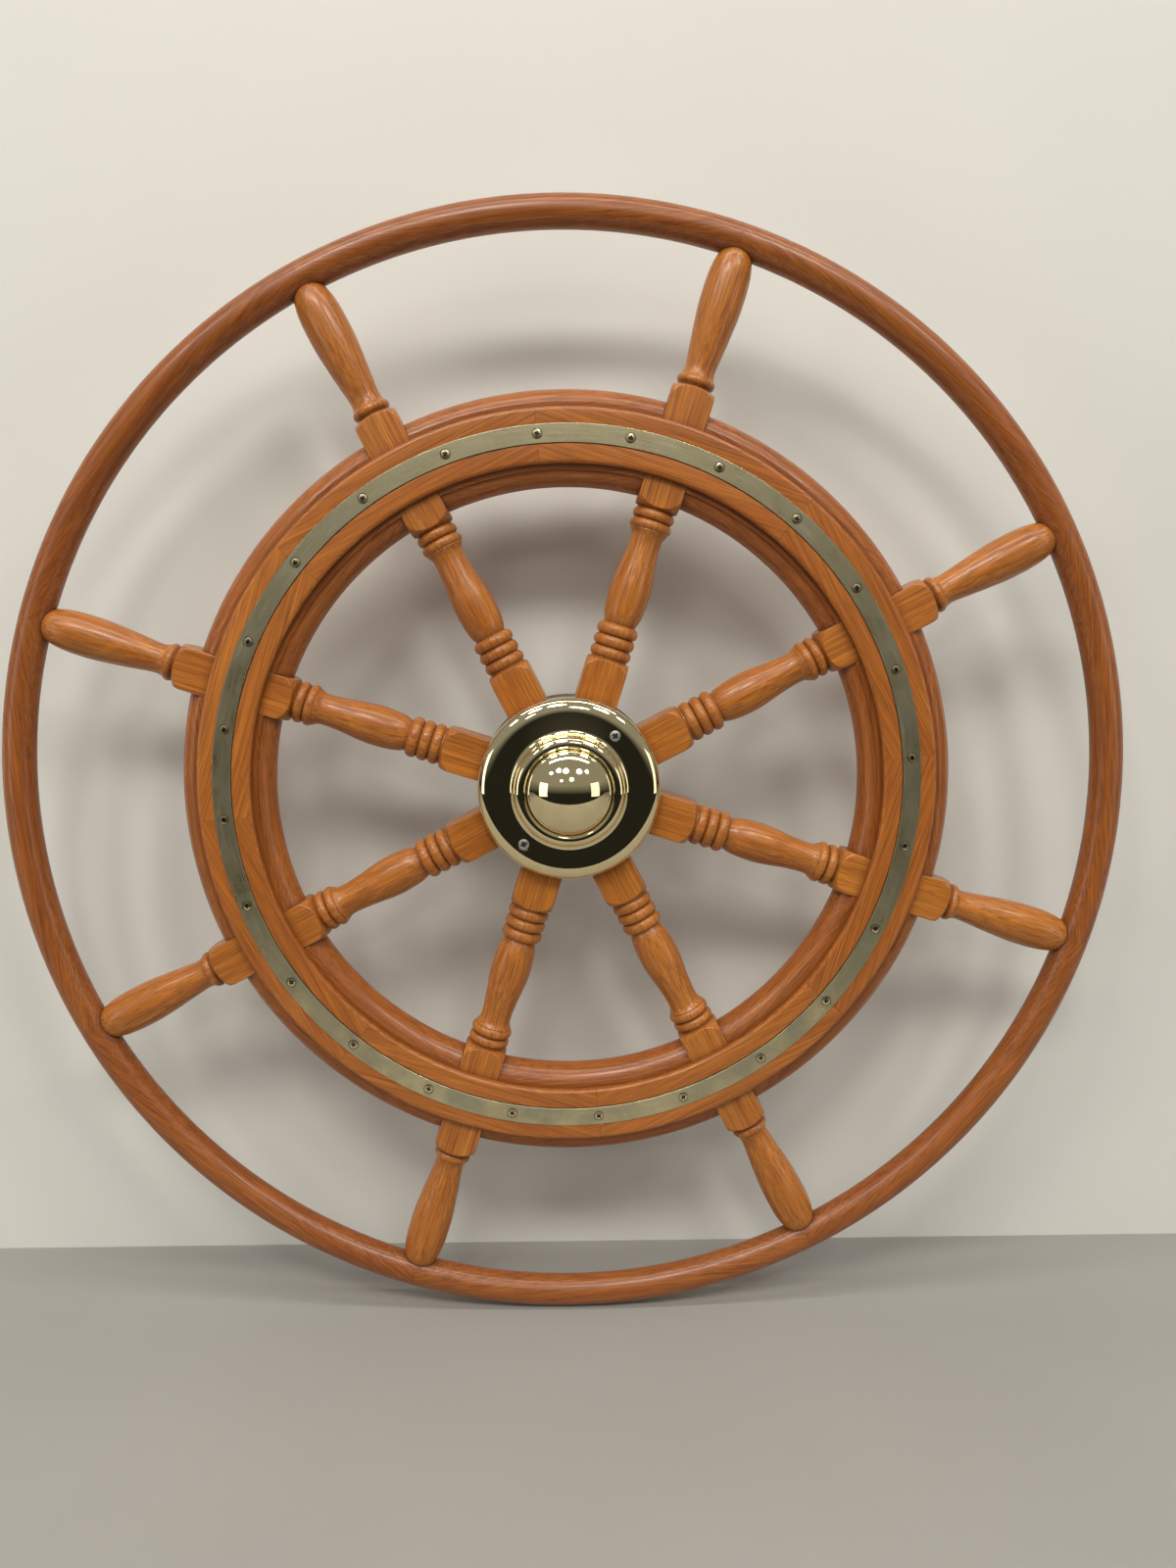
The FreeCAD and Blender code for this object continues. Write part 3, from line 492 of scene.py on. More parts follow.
RING_MIDDLE = 0.36
spoke_wood = wood("spoke_wood", (0.62, 0.230, 0.034), (0.45, 0.134, 0.016), 0.0, 3.4 * MM, 0.5)
rim_wood = wood("rim_wood", (0.43, 0.138, 0.025), (0.31, 0.084, 0.013), RIM_RADIUS, 3.2 * MM, 0.45)
felloe_wood = wood("felloe_wood", (0.49, 0.156, 0.024), (0.35, 0.096, 0.013), RING_MIDDLE, 3.0 * MM, 0.45)
facing_wood = wood("facing_wood", (0.56, 0.193, 0.031), (0.43, 0.125, 0.017), RING_MIDDLE, 2.6 * MM, 0.45)
print("four woods from one recipe")

# %% [markdown]
# A spoke starts as a square bar. The turner leaves it square where it is held in the
# hub and where it passes through the ring, and turns the rest. Where square meets
# round, the cutting curve runs out over the corners and leaves the arched shoulder
# that turners call a pommel. The section at each place along the bar is therefore
# the smaller of a square with eased corners and the turner's circle.

# %% The turner's profile of a spoke
CORNER = HALF_SQUARE * math.sqrt(2)
UNTURNED = CORNER + 3 * MM
HUB_SQUARE_END = 123 * MM
RING_SQUARE_START = 320 * MM
RING_SQUARE_END = 413 * MM
POMMEL = 17.5 * MM
BEAD_FOOT = 19.4 * MM
BEAD_CREST = 22.1 * MM
QUIRK = 1.2 * MM
QUIRK_DEPTH = 1.3 * MM
HANDLE_END = 561 * MM
TIP_CENTRE = 557.1 * MM
TIP_RADIUS = 19.4 * MM
TURNED_SPACING = 2.2 * MM


def shoulder(corner, foot, foot_radius):
    """The cut from the full corner down to a foot. It leaves the corner level and steepens."""
    along, drop = abs(foot - corner), CORNER - foot_radius
    curve = (along * along + drop * drop) / (2 * drop)
    steepest = math.asin(along / curve)
    heights = [CORNER - curve * (1 - math.cos(steepest * step / 22)) for step in range(23)]
    heights += [math.hypot(HALF_SQUARE, out * MM) for out in (6.0, 4.5, 3.0, 1.5, 0.5)]
    stations = []
    for height in sorted(heights, reverse=True):
        reach = math.sqrt(max(0.0, curve**2 - (curve - CORNER + height) ** 2))
        stations.append((corner + math.copysign(reach, foot - corner), height))
    return stations if foot > corner else stations[::-1]


def beads(start, count, width, foot, crest):
    """Half-round beads side by side, each followed by a narrow quirk."""
    points = []
    for bead in range(count):
        left = start + bead * (width + QUIRK)
        points.append((left, foot))
        points += arc((left, foot), (left + width, foot), crest - foot, 12)
        points.append((left + width + QUIRK / 2, foot - QUIRK_DEPTH))
    return points


def turned_form(stations):
    """A free curve through stations that are given in millimetres."""
    return fair_curve([(place * MM, radius * MM) for place, radius in stations], TURNED_SPACING)


def handle_tip():
    """The rounded end of the handle, which the outer rim closes over."""
    start = math.acos((HANDLE_END - TIP_CENTRE) / TIP_RADIUS)
    tip = []
    for step in range(1, 13):
        angle = start * (1 - step / 12.5)
        tip.append((TIP_CENTRE + TIP_RADIUS * math.cos(angle), TIP_RADIUS * math.sin(angle)))
    return tip


def spoke_profile():
    """(place, radius) along the spoke, from the hub to the tip of the handle."""
    inner_end = HUB_SQUARE_END + POMMEL
    belly = [(178.6, 16.6), (183.5, 18.5), (190, 20.1), (198, 21.0), (210, 21.6), (220, 21.4)]
    waist = [(234, 19.9), (246, 18.2), (258, 17.1), (269, 16.6), (275, 17.3), (279.5, 20.0)]
    turned = shoulder(HUB_SQUARE_END, inner_end, BEAD_FOOT)
    turned += beads(inner_end + QUIRK, 3, 11 * MM, BEAD_FOOT, BEAD_CREST)
    turned += turned_form(belly + waist)
    turned += beads(280.4 * MM, 2, 9.6 * MM, 19.8 * MM, 22.3 * MM)
    turned += shoulder(RING_SQUARE_START, RING_SQUARE_START - POMMEL, BEAD_FOOT)
    turned += [(RING_SQUARE_START + 0.5 * MM, UNTURNED), (RING_SQUARE_END - 0.5 * MM, UNTURNED)]
    turned += shoulder(RING_SQUARE_END, RING_SQUARE_END + POMMEL, BEAD_FOOT - QUIRK)

    bead_start = (432.6 * MM, 17.4 * MM)
    turned += [(431.0 * MM, 16.6 * MM), bead_start]
    turned += arc(bead_start, (441.2 * MM, 18.1 * MM), 2.3 * MM, 10)
    neck = [(442.4, 17.2), (446, 16.3), (450, 15.8), (456, 16.2), (464, 17.1), (473, 18.2), (484, 19.5)]
    grip = [(496, 20.7), (508, 21.8), (519, 22.4), (529, 22.5), (539, 22.2), (548, 21.5), (555, 20.5)]
    return turned + turned_form(neck + grip) + handle_tip()


profile = spoke_profile()
print("profile stations:", len(profile), "from", round(profile[0][0], 4), "to", round(profile[-1][0], 4))

# %% [markdown]
# The mesh has to follow the line where the turned work cuts the flats, or the arch
# would look ragged, so the points of each section crowd together at the edge of the
# flat. Next to the hub the bar narrows to a mitre, so that eight close round it.

# %% Sections of a spoke, square or round or both
CORNER_EASE = 1.4 * MM
ARCH_EASE = 0.8 * MM
ROUND_STEPS = 7
SPOKE_START = 32 * MM
MITRE_END = 54 * MM
MITRE_GAP = 0.2 * MM


def bar_reach(angle, half_depth, half_width):
    """How far a bar with eased corners reaches from its middle at an angle."""
    across, up = abs(math.cos(angle)), abs(math.sin(angle))
    ease = min(CORNER_EASE, half_depth / 2, half_width / 2)
    reach = min(half_depth / max(across, 1e-9), half_width / max(up, 1e-9))
    if reach * across <= half_depth - ease or reach * up <= half_width - ease:
        return reach
    centre = Vector((half_depth - ease, half_width - ease))
    along = across * centre.x + up * centre.y
    return along + math.sqrt(max(0.0, along * along - centre.length_squared + ease * ease))


def soft_minimum(first, second, blend):
    share = max(blend - abs(first - second), 0) / blend
    return min(first, second) - share * share * blend / 4


def angles_to_corner(half_flat, corner, radius):
    """Angles from the middle of a flat to its corner, with three round the edge of the flat."""
    edge = math.acos(min(1.0, half_flat / radius))
    edge = min(max(edge, math.radians(1.5)), corner - math.radians(3.5))
    beside = min(math.radians(2.2), edge / 2)
    angles = [0.0, edge - beside, edge]
    for step in range(ROUND_STEPS):
        angles.append(edge + beside + (corner - edge - beside) * step / ROUND_STEPS)
    return angles


def section_angles(radius, half_depth, half_width):
    """Angles round the bar whose edges follow the line where the turned work meets each flat."""
    corner = math.atan2(half_width, half_depth)
    first = angles_to_corner(half_depth, corner, radius)
    second = [math.pi / 2 - angle for angle in angles_to_corner(half_width, math.pi / 2 - corner, radius)]
    quarter = first + [corner] + second[:0:-1]
    mirrored = [math.pi - angle for angle in reversed(quarter[1:])]
    half = quarter + [math.pi / 2] + mirrored
    return half + [math.pi + angle for angle in half]


def spoke_rings():
    """The sections of a spoke, from its mitred end to the tip of its handle."""
    square_end = HUB_SQUARE_END - 1 * MM
    stations = [(SPOKE_START, UNTURNED), (MITRE_END, UNTURNED), (square_end, UNTURNED)]
    rings = []
    for place, radius in stations + profile:
        half_width = min(HALF_SQUARE, place * math.tan(PITCH / 2) - MITRE_GAP)
        ring = []
        for angle in section_angles(radius, HALF_SQUARE, half_width):
            reach = bar_reach(angle, HALF_SQUARE, half_width)
            if radius < UNTURNED:
                reach = soft_minimum(reach, radius, ARCH_EASE)
            ring.append((place, reach * math.cos(angle), reach * math.sin(angle)))
        rings.append(ring)
    return rings


points, faces = skin(spoke_rings())
for number in range(SPOKES):
    node = f"spoke_{number + 1}"
    mesh = make_mesh(f"turned_{node}", points, faces)
    spoke = make_piece(mesh, spoke_wood, node, -spoke_angle(number))
    spoke.modifiers.new("flat_faces_stay_flat", "WEIGHTED_NORMAL").keep_sharp = True
print("each spoke has", len(faces), "faces")

# %% [markdown]
# The ring between the spokes is filled by felloes. Their edges stand out past the
# facings as a half-round with a small step, so the light breaks into a bright line,
# a dark groove and a soft shade. Each point of the section is swept only as far as
# the flat side of the spoke, less a glue line, so the end faces fit the spokes.

# %% A helper for the pieces of a ring
GLUE_LINE = 0.05 * MM


def along_ring(radius, angle, depth):
    """A point of the ring in a piece's own axes: X runs along its grain and Z outwards."""
    return (radius * math.sin(angle), depth, radius * math.cos(angle))


def sweep(section, limit_at, steps=30):
    """A section of (radius, depth) swept both ways, as far as limit_at says at each radius."""
    rings = []
    for step in range(steps + 1):
        share = 2 * step / steps - 1
        rings.append([along_ring(radius, share * limit_at(radius), depth) for radius, depth in section])
    return skin(rings)


def up_to_spoke(radius):
    return PITCH / 2 - math.asin((HALF_SQUARE + GLUE_LINE) / radius)


def up_to_neighbour(radius):
    return PITCH / 2 - GLUE_LINE / radius


print("glue line:", round(GLUE_LINE / MM, 2), "mm a side")

# %% Felloes between the spokes
FELLOE_INNER = 327.5 * MM
FELLOE_OUTER = 394.5 * MM
FELLOE_STEP = 2.5 * MM
FELLOE_CURVE = 15.5 * MM


def felloe_section():
    step = HALF_SQUARE - FELLOE_STEP
    points = [(FELLOE_INNER, -HALF_SQUARE), (FELLOE_OUTER, -HALF_SQUARE), (FELLOE_OUTER, -step)]
    points += arc(points[-1], (FELLOE_OUTER, step), -FELLOE_CURVE, 22)
    points += [(FELLOE_OUTER, HALF_SQUARE), (FELLOE_INNER, HALF_SQUARE), (FELLOE_INNER, step)]
    points += arc(points[-1], (FELLOE_INNER, -step), -FELLOE_CURVE, 22)
    return points


shape = sweep(felloe_section(), up_to_spoke)
for number in range(SPOKES):
    node = f"felloe_{number + 1}"
    mesh = make_mesh(f"shaped_{node}", *shape)
    turned = math.pi / 2 - gap_angle(number)
    make_piece(mesh, felloe_wood, node, turned, 0.35 * MM)
print("felloe faces:", len(shape[1]))

# %% [markdown]
# Facings cover the joints: each is centred on a spoke and meets its neighbour half
# way between two spokes, so no joint lies over another. The grain of each runs along
# its own chord, and the change of direction at each meeting is what shows the
# joints. The front ones have a shallow groove for the brass strip, a little wider
# than the strip on its inner side, where a dark line shows.

# %% Facings on the front and the back
FACING_INNER = 333 * MM
FACING_OUTER = 389 * MM
FACING_ROUND = 4 * MM
BRASS_MIDDLE = 362.5 * MM
BRASS_HALF = 9.5 * MM
BRASS_THICKNESS = 3 * MM
GROOVE_FLOOR = -(BRASS_FRONT - BRASS_THICKNESS)


def front_section():
    groove_inner = BRASS_MIDDLE - BRASS_HALF - 0.9 * MM
    groove_outer = BRASS_MIDDLE + BRASS_HALF + 0.1 * MM
    return rounded([
        (FACING_INNER, -HALF_SQUARE, 0),
        (FACING_OUTER, -HALF_SQUARE, 0),
        (FACING_OUTER, -RING_FRONT, FACING_ROUND),
        (groove_outer, -RING_FRONT, 0.3 * MM),
        (groove_outer, GROOVE_FLOOR, 0),
        (groove_inner, GROOVE_FLOOR, 0),
        (groove_inner, -RING_FRONT, 0.4 * MM),
        (FACING_INNER, -RING_FRONT, FACING_ROUND),
    ], 7)


def back_section():
    return rounded([
        (FACING_INNER, HALF_SQUARE, 0),
        (FACING_OUTER, HALF_SQUARE, 0),
        (FACING_OUTER, RING_BACK, FACING_ROUND),
        (FACING_INNER, RING_BACK, FACING_ROUND),
    ], 7)


for side, section in (("front", front_section()), ("back", back_section())):
    shape = sweep(section, up_to_neighbour)
    for number in range(SPOKES):
        node = f"{side}_facing_{number + 1}"
        mesh = make_mesh(f"shaped_{node}", *shape)
        turned = math.pi / 2 - spoke_angle(number)
        make_piece(mesh, facing_wood, node, turned, 0.25 * MM)
print("facings:", 2 * SPOKES)

# %% [markdown]
# The outer rim is eight sawn lengths of round section, so each has straight grain
# that runs out at its ends. The joints lie at the handles, where the rounded tips
# are let into the rim. Boolean cutters hollow those seats, a hair wider than the
# tips, which leaves the fine dark line that shows where one piece enters another.

# %% The outer rim
RIM_AROUND = 56
RIM_ALONG = 44
SEAT_GAP = 0.3 * MM


def ball(radius, steps):
    """Points and faces of a ball about the origin, closed at both poles."""
    angles = [math.pi * step / steps for step in range(1, steps)]
    half = [(radius * math.sin(angle), -radius * math.cos(angle)) for angle in angles]
    return lathe([(0.0, -radius)] + half + [(0.0, radius)], steps * 2)


def rim_section():
    angles = [2 * math.pi * spot / RIM_AROUND for spot in range(RIM_AROUND)]
    return [(RIM_RADIUS + RIM_HALF * math.cos(angle), RIM_HALF * math.sin(angle)) for angle in angles]


shape = sweep(rim_section(), up_to_neighbour, RIM_ALONG)
for number in range(SPOKES):
    node = f"outer_rim_{number + 1}"
    mesh = make_mesh(f"shaped_{node}", *shape)
    piece = make_piece(mesh, rim_wood, node, math.pi / 2 - gap_angle(number))
    cutters = []
    for side in (-1, 1):
        centre = Vector(along_ring(TIP_CENTRE, side * PITCH / 2, 0))
        seat = piece.matrix_world @ Matrix.Translation(centre)
        cutters.append(make_cutter(ball(TIP_RADIUS + SEAT_GAP, 32), seat))
    cut_away(piece, cutters)
print("rim segment faces:", len(piece.data.polygons))

# %% [markdown]
# Four metals meet at this wheel. The hub is brass polished to a mirror. The strip in
# the ring is the same alloy left to the sea air: duller, greener, with soft clouds
# of tarnish and fine scratches that run along it. The plate's screws are stainless
# steel, and the casting behind the spokes is left as it was cast. Narrow creases get
# painted shade, or bright metal would light up the gap round a screw and the cross in
# it. On the brass, that painted shade also stands for tarnish gathered in the hollows.

# %% Polished and aged brass
# Near-black for painted shade in narrow creases, which on brass also stands for tarnish there.
TARNISH_AND_CREASE_SHADE = (0.05, 0.042, 0.028)


def finish_metal(tree, shader, tint, rough):
    """A bare metal whose colour and roughness vary."""
    tree.links.new(tint, shader.inputs["Base Color"])
    tree.links.new(rough, shader.inputs["Roughness"])
    shader.inputs["Metallic"].default_value = 1.0


def polished_brass():
    """Brass with faint smears from the polishing cloth and a finer haze."""
    material, tree, shader, place = new_material("polished_brass")
    smears = noise(tree, place, 38.0, 4.0, 0.6)
    haze = noise(tree, place, 420.0, 3.0, 0.6)
    tint = mixed(tree, stretch(tree, smears, 0.35, 0.7), (0.85, 0.75, 0.47), (0.79, 0.67, 0.38))
    smeared = stretch(tree, smears, 0.45, 0.75, 0.03, 0.07)
    hazed = stretch(tree, haze, 0.5, 0.8, 0.0, 0.03)
    finish_metal(tree, shader, tint, calculate(tree, "ADD", smeared, hazed))
    return material


def path_round_wheel(tree, place):
    """A point in polar terms, so that a texture can run with the rim."""
    split = add_node(tree, "ShaderNodeSeparateXYZ", Vector=place)
    angle = calculate(tree, "ARCTAN2", split.outputs["Z"], split.outputs["X"])
    flat = add_node(tree, "ShaderNodeCombineXYZ", X=split.outputs["X"], Z=split.outputs["Z"]).outputs[0]
    radius = add_node(tree, "ShaderNodeVectorMath", {"operation": "LENGTH"}, i0=flat).outputs["Value"]
    return add_node(
        tree,
        "ShaderNodeCombineXYZ",
        X=calculate(tree, "MULTIPLY", radius, 650.0),
        Y=calculate(tree, "MULTIPLY", angle, 9.0),
        Z=split.outputs["Y"],
    ).outputs[0]


def aged_brass(name, pale, deep, rough_low, rough_high):
    """Brass with clouds of tarnish, and scratches that follow the wheel's rim."""
    material, tree, shader, place = new_material(name)
    scratches = noise(tree, path_round_wheel(tree, place), 1.0, 2.0, 0.5)
    clouds = noise(tree, place, 24.0, 4.0, 0.6)
    bright = tuple(min(1.0, 1.2 * channel) for channel in pale)
    tint = mixed(tree, stretch(tree, clouds, 0.38, 0.64), pale, deep)
    tint = mixed(tree, stretch(tree, scratches, 0.45, 0.75, 0.0, 0.18), tint, bright)
    # Painted shade in narrow creases, round the screws and in their crosses, also standing for tarnish
    # gathered there.
    tint = mixed(tree, crease_shade_mask(tree, 3 * MM, 0.45, 0.86, True), tint, TARNISH_AND_CREASE_SHADE)
    clouded = stretch(tree, clouds, 0.35, 0.7, rough_low, rough_high)
    scratched = stretch(tree, scratches, 0.4, 0.7, -0.01, 0.03)
    finish_metal(tree, shader, tint, calculate(tree, "ADD", clouded, scratched))
    bumped(tree, shader, clouds, 0.05 * MM, 0.2)
    return material


hub_brass = polished_brass()
strip_brass = aged_brass("aged_brass", (0.74, 0.66, 0.41), (0.50, 0.47, 0.32), 0.26, 0.38)
head_brass = aged_brass("screw_brass", (0.84, 0.74, 0.46), (0.70, 0.60, 0.37), 0.20, 0.30)
print("brass: polished, aged, screw heads")

# %% Steel and the rough casting
# Near-black grey for painted shade in narrow creases.
CREASE_SHADE_GREY = (0.035, 0.034, 0.032)


def grey_metal(name, pale, deep, grain_scale, grain_height, rough_low, rough_high):
    """Grey metal with a grain that is as fine as its scale says, and wide soft patches."""
    material, tree, shader, place = new_material(name)
    skin_grain = noise(tree, place, grain_scale, 4.0, 0.6)
    patches = noise(tree, place, 30.0, 3.0, 0.5)
    tint = mixed(tree, stretch(tree, patches, 0.35, 0.65), pale, deep)
    # Painted shade: narrow creases on the casting and the steel screws are darkened.
    tint = mixed(tree, crease_shade_mask(tree, 3 * MM, 0.4, 0.86, True), tint, CREASE_SHADE_GREY)
    finish_metal(tree, shader, tint, stretch(tree, skin_grain, 0.3, 0.7, rough_low, rough_high))
    bumped(tree, shader, skin_grain, grain_height, 0.6)
    return material


cast_metal = grey_metal("cast_metal", (0.40, 0.40, 0.38), (0.28, 0.28, 0.27), 620.0, 0.12 * MM, 0.38, 0.6)
steel = grey_metal("screw_steel", (0.66, 0.65, 0.62), (0.55, 0.54, 0.52), 900.0, 0.01 * MM, 0.34, 0.46)
print("grey metals: casting and steel")

# %% [markdown]
# The strip lies in its groove and stands a little proud. Its holes are countersunk
# wider than the screw heads, so a narrow dark gap shows round each head. A hole is
# turned as a stepped plug and taken out of the strip. The front edges have a small
# round, which draws a bright line along both sides of the brass.

# %% The sizes of the screws, and the holes for them
Screw = namedtuple("Screw", "head rise shank sink length")
STRIP_SCREW = Screw(head=4.5 * MM, rise=0.35 * MM, shank=2 * MM, sink=2.2 * MM, length=9 * MM)
PLATE_SCREW = Screw(head=5.6 * MM, rise=0.7 * MM, shank=2.5 * MM, sink=2.6 * MM, length=24 * MM)
FLANGE_SCREW = Screw(head=5.4 * MM, rise=0.0, shank=2.7 * MM, sink=3 * MM, length=36 * MM)
STRIP_SCREWS = 24
PAST_FACE = 1 * MM


def around_wheel(number, count, first, radius):
    """The centre of one of count places round the wheel."""
    angle = first + 2 * math.pi * number / count
    return Vector((radius * math.cos(angle), 0, radius * math.sin(angle)))


def drilled(piece, centres, face, thickness, stages, steps):
    """Cuts one hole at each centre. Stages are its radius at depths below the front face."""
    outline = [(0.0, -face + stages[0][1])]
    outline += [(radius, -face + depth) for radius, depth in stages]
    end = -face + thickness + PAST_FACE
    shape = lathe(outline + [(stages[-1][0], end), (0.0, end)], steps)
    cut_away(piece, [make_cutter(shape, Matrix.Translation(centre)) for centre in centres])


print("screw heads of the strip:", round(2 * STRIP_SCREW.head / MM, 1), "mm across")

# %% The brass strip
STRIP_STEPS = 360
STRIP_ROUND = 0.4 * MM

shape = lathe(rounded([
    (BRASS_MIDDLE - BRASS_HALF, GROOVE_FLOOR, 0),
    (BRASS_MIDDLE + BRASS_HALF, GROOVE_FLOOR, 0),
    (BRASS_MIDDLE + BRASS_HALF, -BRASS_FRONT, STRIP_ROUND),
    (BRASS_MIDDLE - BRASS_HALF, -BRASS_FRONT, STRIP_ROUND),
]), STRIP_STEPS)
mesh = make_mesh("inlaid_brass_strip", *shape)
strip = make_piece(mesh, strip_brass, "brass_ring")
strip_centres = [around_wheel(n, STRIP_SCREWS, gap_angle(0), BRASS_MIDDLE) for n in range(STRIP_SCREWS)]
drilled(strip, strip_centres, BRASS_FRONT, BRASS_THICKNESS, [
    (STRIP_SCREW.head + 1.2 * MM, -PAST_FACE),
    (STRIP_SCREW.head + 0.9 * MM, 0.0),
    (STRIP_SCREW.head + 0.7 * MM, 1.2 * MM),
    (STRIP_SCREW.shank + 0.1 * MM, STRIP_SCREW.sink),
], 32)
strip.modifiers.new("flat_face_stays_flat", "WEIGHTED_NORMAL").keep_sharp = True
print("strip faces:", len(strip.data.polygons))

# %% [markdown]
# The strip is held by raised countersunk screws. A screw is turned like everything
# else, and then a tapered cross is cut into its crown. At this distance the cross is
# only a dark spot with a glint beside it, but without it the heads read as rivets.

# %% Screws with a cross recess
RECESS_DEPTH = 0.5
RECESS_REACH = 0.58
RECESS_WIDTH = 0.20


def screw_outline(face, screw):
    """Half of a countersunk screw that points to +Y, from its crown to its end."""
    top = -(face + screw.rise)
    crown = [(0.0, top)]
    dome = (screw.head * screw.head + screw.rise * screw.rise) / (2 * screw.rise) if screw.rise else 0
    for step in range(1, 9):
        out = screw.head * step / 8
        drop = dome - math.sqrt(dome * dome - out * out) if screw.rise else 0
        crown.append((out, top + drop))
    end = -(face - screw.length)
    return crown + [(screw.shank, -(face - screw.sink)), (screw.shank, end), (0.0, end)]


def cross_recess(top, head):
    """A tapered cross that points to +Y, from above the crown to the bottom of the recess."""
    points = []
    for place, shrink in ((top - 0.5 * MM, 1.15), (top + head * RECESS_DEPTH, 0.55)):
        a, b = head * RECESS_REACH * shrink, head * RECESS_WIDTH * shrink
        outline = [(a, b), (b, b), (b, a), (-b, a), (-b, b), (-a, b)]
        outline += [(-a, -b), (-b, -b), (-b, -a), (b, -a), (b, -b), (a, -b)]
        points += [(x, place, z) for x, z in outline]
    return skin([points[:12], points[12:]])


def make_screws(name, node, material, centres, face, screw, backwards=False):
    """One piece that holds every screw of a kind, each turned to an angle of its own."""
    template = make_cutter(lathe(screw_outline(face, screw), 40))
    template.data.shade_smooth()
    cut_away(template, [make_cutter(cross_recess(-(face + screw.rise), screw.head))])
    rng = np.random.default_rng(len(name))
    flip = Matrix.Rotation(math.pi, 4, "Z") if backwards else Matrix.Identity(4)
    joined = bmesh.new()
    for centre in centres:
        turn = Matrix.Rotation(rng.uniform(0, math.pi / 2), 4, "Y")
        copy = template.data.copy()
        copy.transform(Matrix.Translation(centre) @ flip @ turn)
        joined.from_mesh(copy)
        bpy.data.meshes.remove(copy)
    mesh = bpy.data.meshes.new(name)
    joined.to_mesh(mesh)
    joined.free()
    bpy.data.objects.remove(template)
    return make_piece(mesh, material, node)


screws = make_screws(
    "strip_screws", "ring_screws", head_brass, strip_centres, BRASS_FRONT, STRIP_SCREW
)
print("screws round the strip:", STRIP_SCREWS, "faces:", len(screws.data.polygons))

# %% [markdown]
# A mirror shows every facet, so the hub's front plate and its domed cap are turned
# from fine outlines, with far more steps than wood needs. The plate has a soft, wide
# edge and a coved collar that swells towards its lip, and it is hollow behind.

# %% The front plate of the hub
HUB_STEPS = 256
PLATE_FACE = 44.5 * MM
PLATE_WALL = 5 * MM
PLATE_ROUND = 10 * MM
PLATE_SOFT = 15 * MM
PLATE_SCREW_CIRCLE = 74 * MM
COLLAR_RADIUS = 57.5 * MM
COLLAR_FOOT = 1 * MM
COLLAR_SWELL = 0.32
COVE = 6 * MM
LIP_WIDTH = 4.5 * MM
LIP_DROP = 1.25 * MM
MOUTH = CAP_RADIUS + 2.5 * MM
CAP_SEAT = COLLAR_FRONT - 2.5 * MM
SPIGOT = CAP_RADIUS - 2 * MM
SPIGOT_HOLE = SPIGOT + 0.2 * MM
QUARTER = 1 - math.sqrt(0.5)


def plate_outline():
    """The section of the plate, from its rim over its face and collar to its hollow back."""
    edge_start = -(PLATE_FACE - PLATE_ROUND)
    points = [(HUB_RADIUS, -HALF_SQUARE)]
    for step in range(25):
        angle = math.pi / 2 * step / 24
        across = HUB_RADIUS - PLATE_SOFT * (1 - math.cos(angle))
        points.append((across, edge_start - PLATE_ROUND * math.sin(angle)))
    cove_start = (COLLAR_RADIUS + COVE, -PLATE_FACE)
    cove_end = (COLLAR_RADIUS, -(PLATE_FACE + COVE))
    side = (COLLAR_RADIUS, cove_end[1] - COLLAR_FOOT)
    lip = (MOUTH + LIP_WIDTH, -COLLAR_FRONT)
    collar_height = COLLAR_FRONT - PLATE_FACE - COVE - COLLAR_FOOT
    points += [cove_start] + arc(cove_start, cove_end, -COVE * QUARTER, 14) + [side]
    points += arc(side, lip, collar_height * COLLAR_SWELL, 18)
    points += arc(lip, (MOUTH, -(CAP_SEAT + LIP_DROP)), 0.5 * MM, 6)
    back = -(PLATE_FACE - PLATE_WALL)
    points += [(MOUTH, -CAP_SEAT), (SPIGOT_HOLE, -CAP_SEAT), (SPIGOT_HOLE, back)]
    inside = (HUB_RADIUS - PLATE_ROUND, back)
    inside_edge = (HUB_RADIUS - PLATE_WALL, edge_start)
    points += [inside] + arc(inside, inside_edge, -(PLATE_ROUND - PLATE_WALL) * QUARTER, 8)
    return points + [(HUB_RADIUS - PLATE_WALL, -HALF_SQUARE)]


mesh = make_mesh("polished_front_plate", *lathe(plate_outline(), HUB_STEPS))
plate = make_piece(mesh, hub_brass, "hub_front_plate")
plate_centres = [around_wheel(n, 2, gap_angle(0), PLATE_SCREW_CIRCLE) for n in range(2)]
drilled(plate, plate_centres, PLATE_FACE, PLATE_WALL, [
    (7.8 * MM, -PAST_FACE),
    (6.8 * MM, 0.0),
    (6.1 * MM, 0.8 * MM),
    (2.8 * MM, PLATE_SCREW.sink),
], 48)
make_screws(
    "plate_cross_screws", "plate_screws", steel, plate_centres, PLATE_FACE, PLATE_SCREW
)
print("front plate faces:", len(plate.data.polygons))

# %% [markdown]
# The cap is a shallow dome over a short upright foot, with a small bead where it
# meets the plate, and a spigot that drops into the collar. The arcs of the dome end
# on the axis, where they have to be level, or the mirror would show a point.

# %% The domed cap
CAP_WALL = 3 * MM
CAP_BEAD = 6 * MM
CAP_FOOT = 5 * MM
SPIGOT_LENGTH = 12 * MM


def dome_rise(foot_radius, height):
    """How far a dome stands out from the straight line between its foot and its top."""
    radius = (foot_radius**2 + height**2) / (2 * height)
    return radius - math.sqrt(radius**2 - (foot_radius**2 + height**2) / 4)


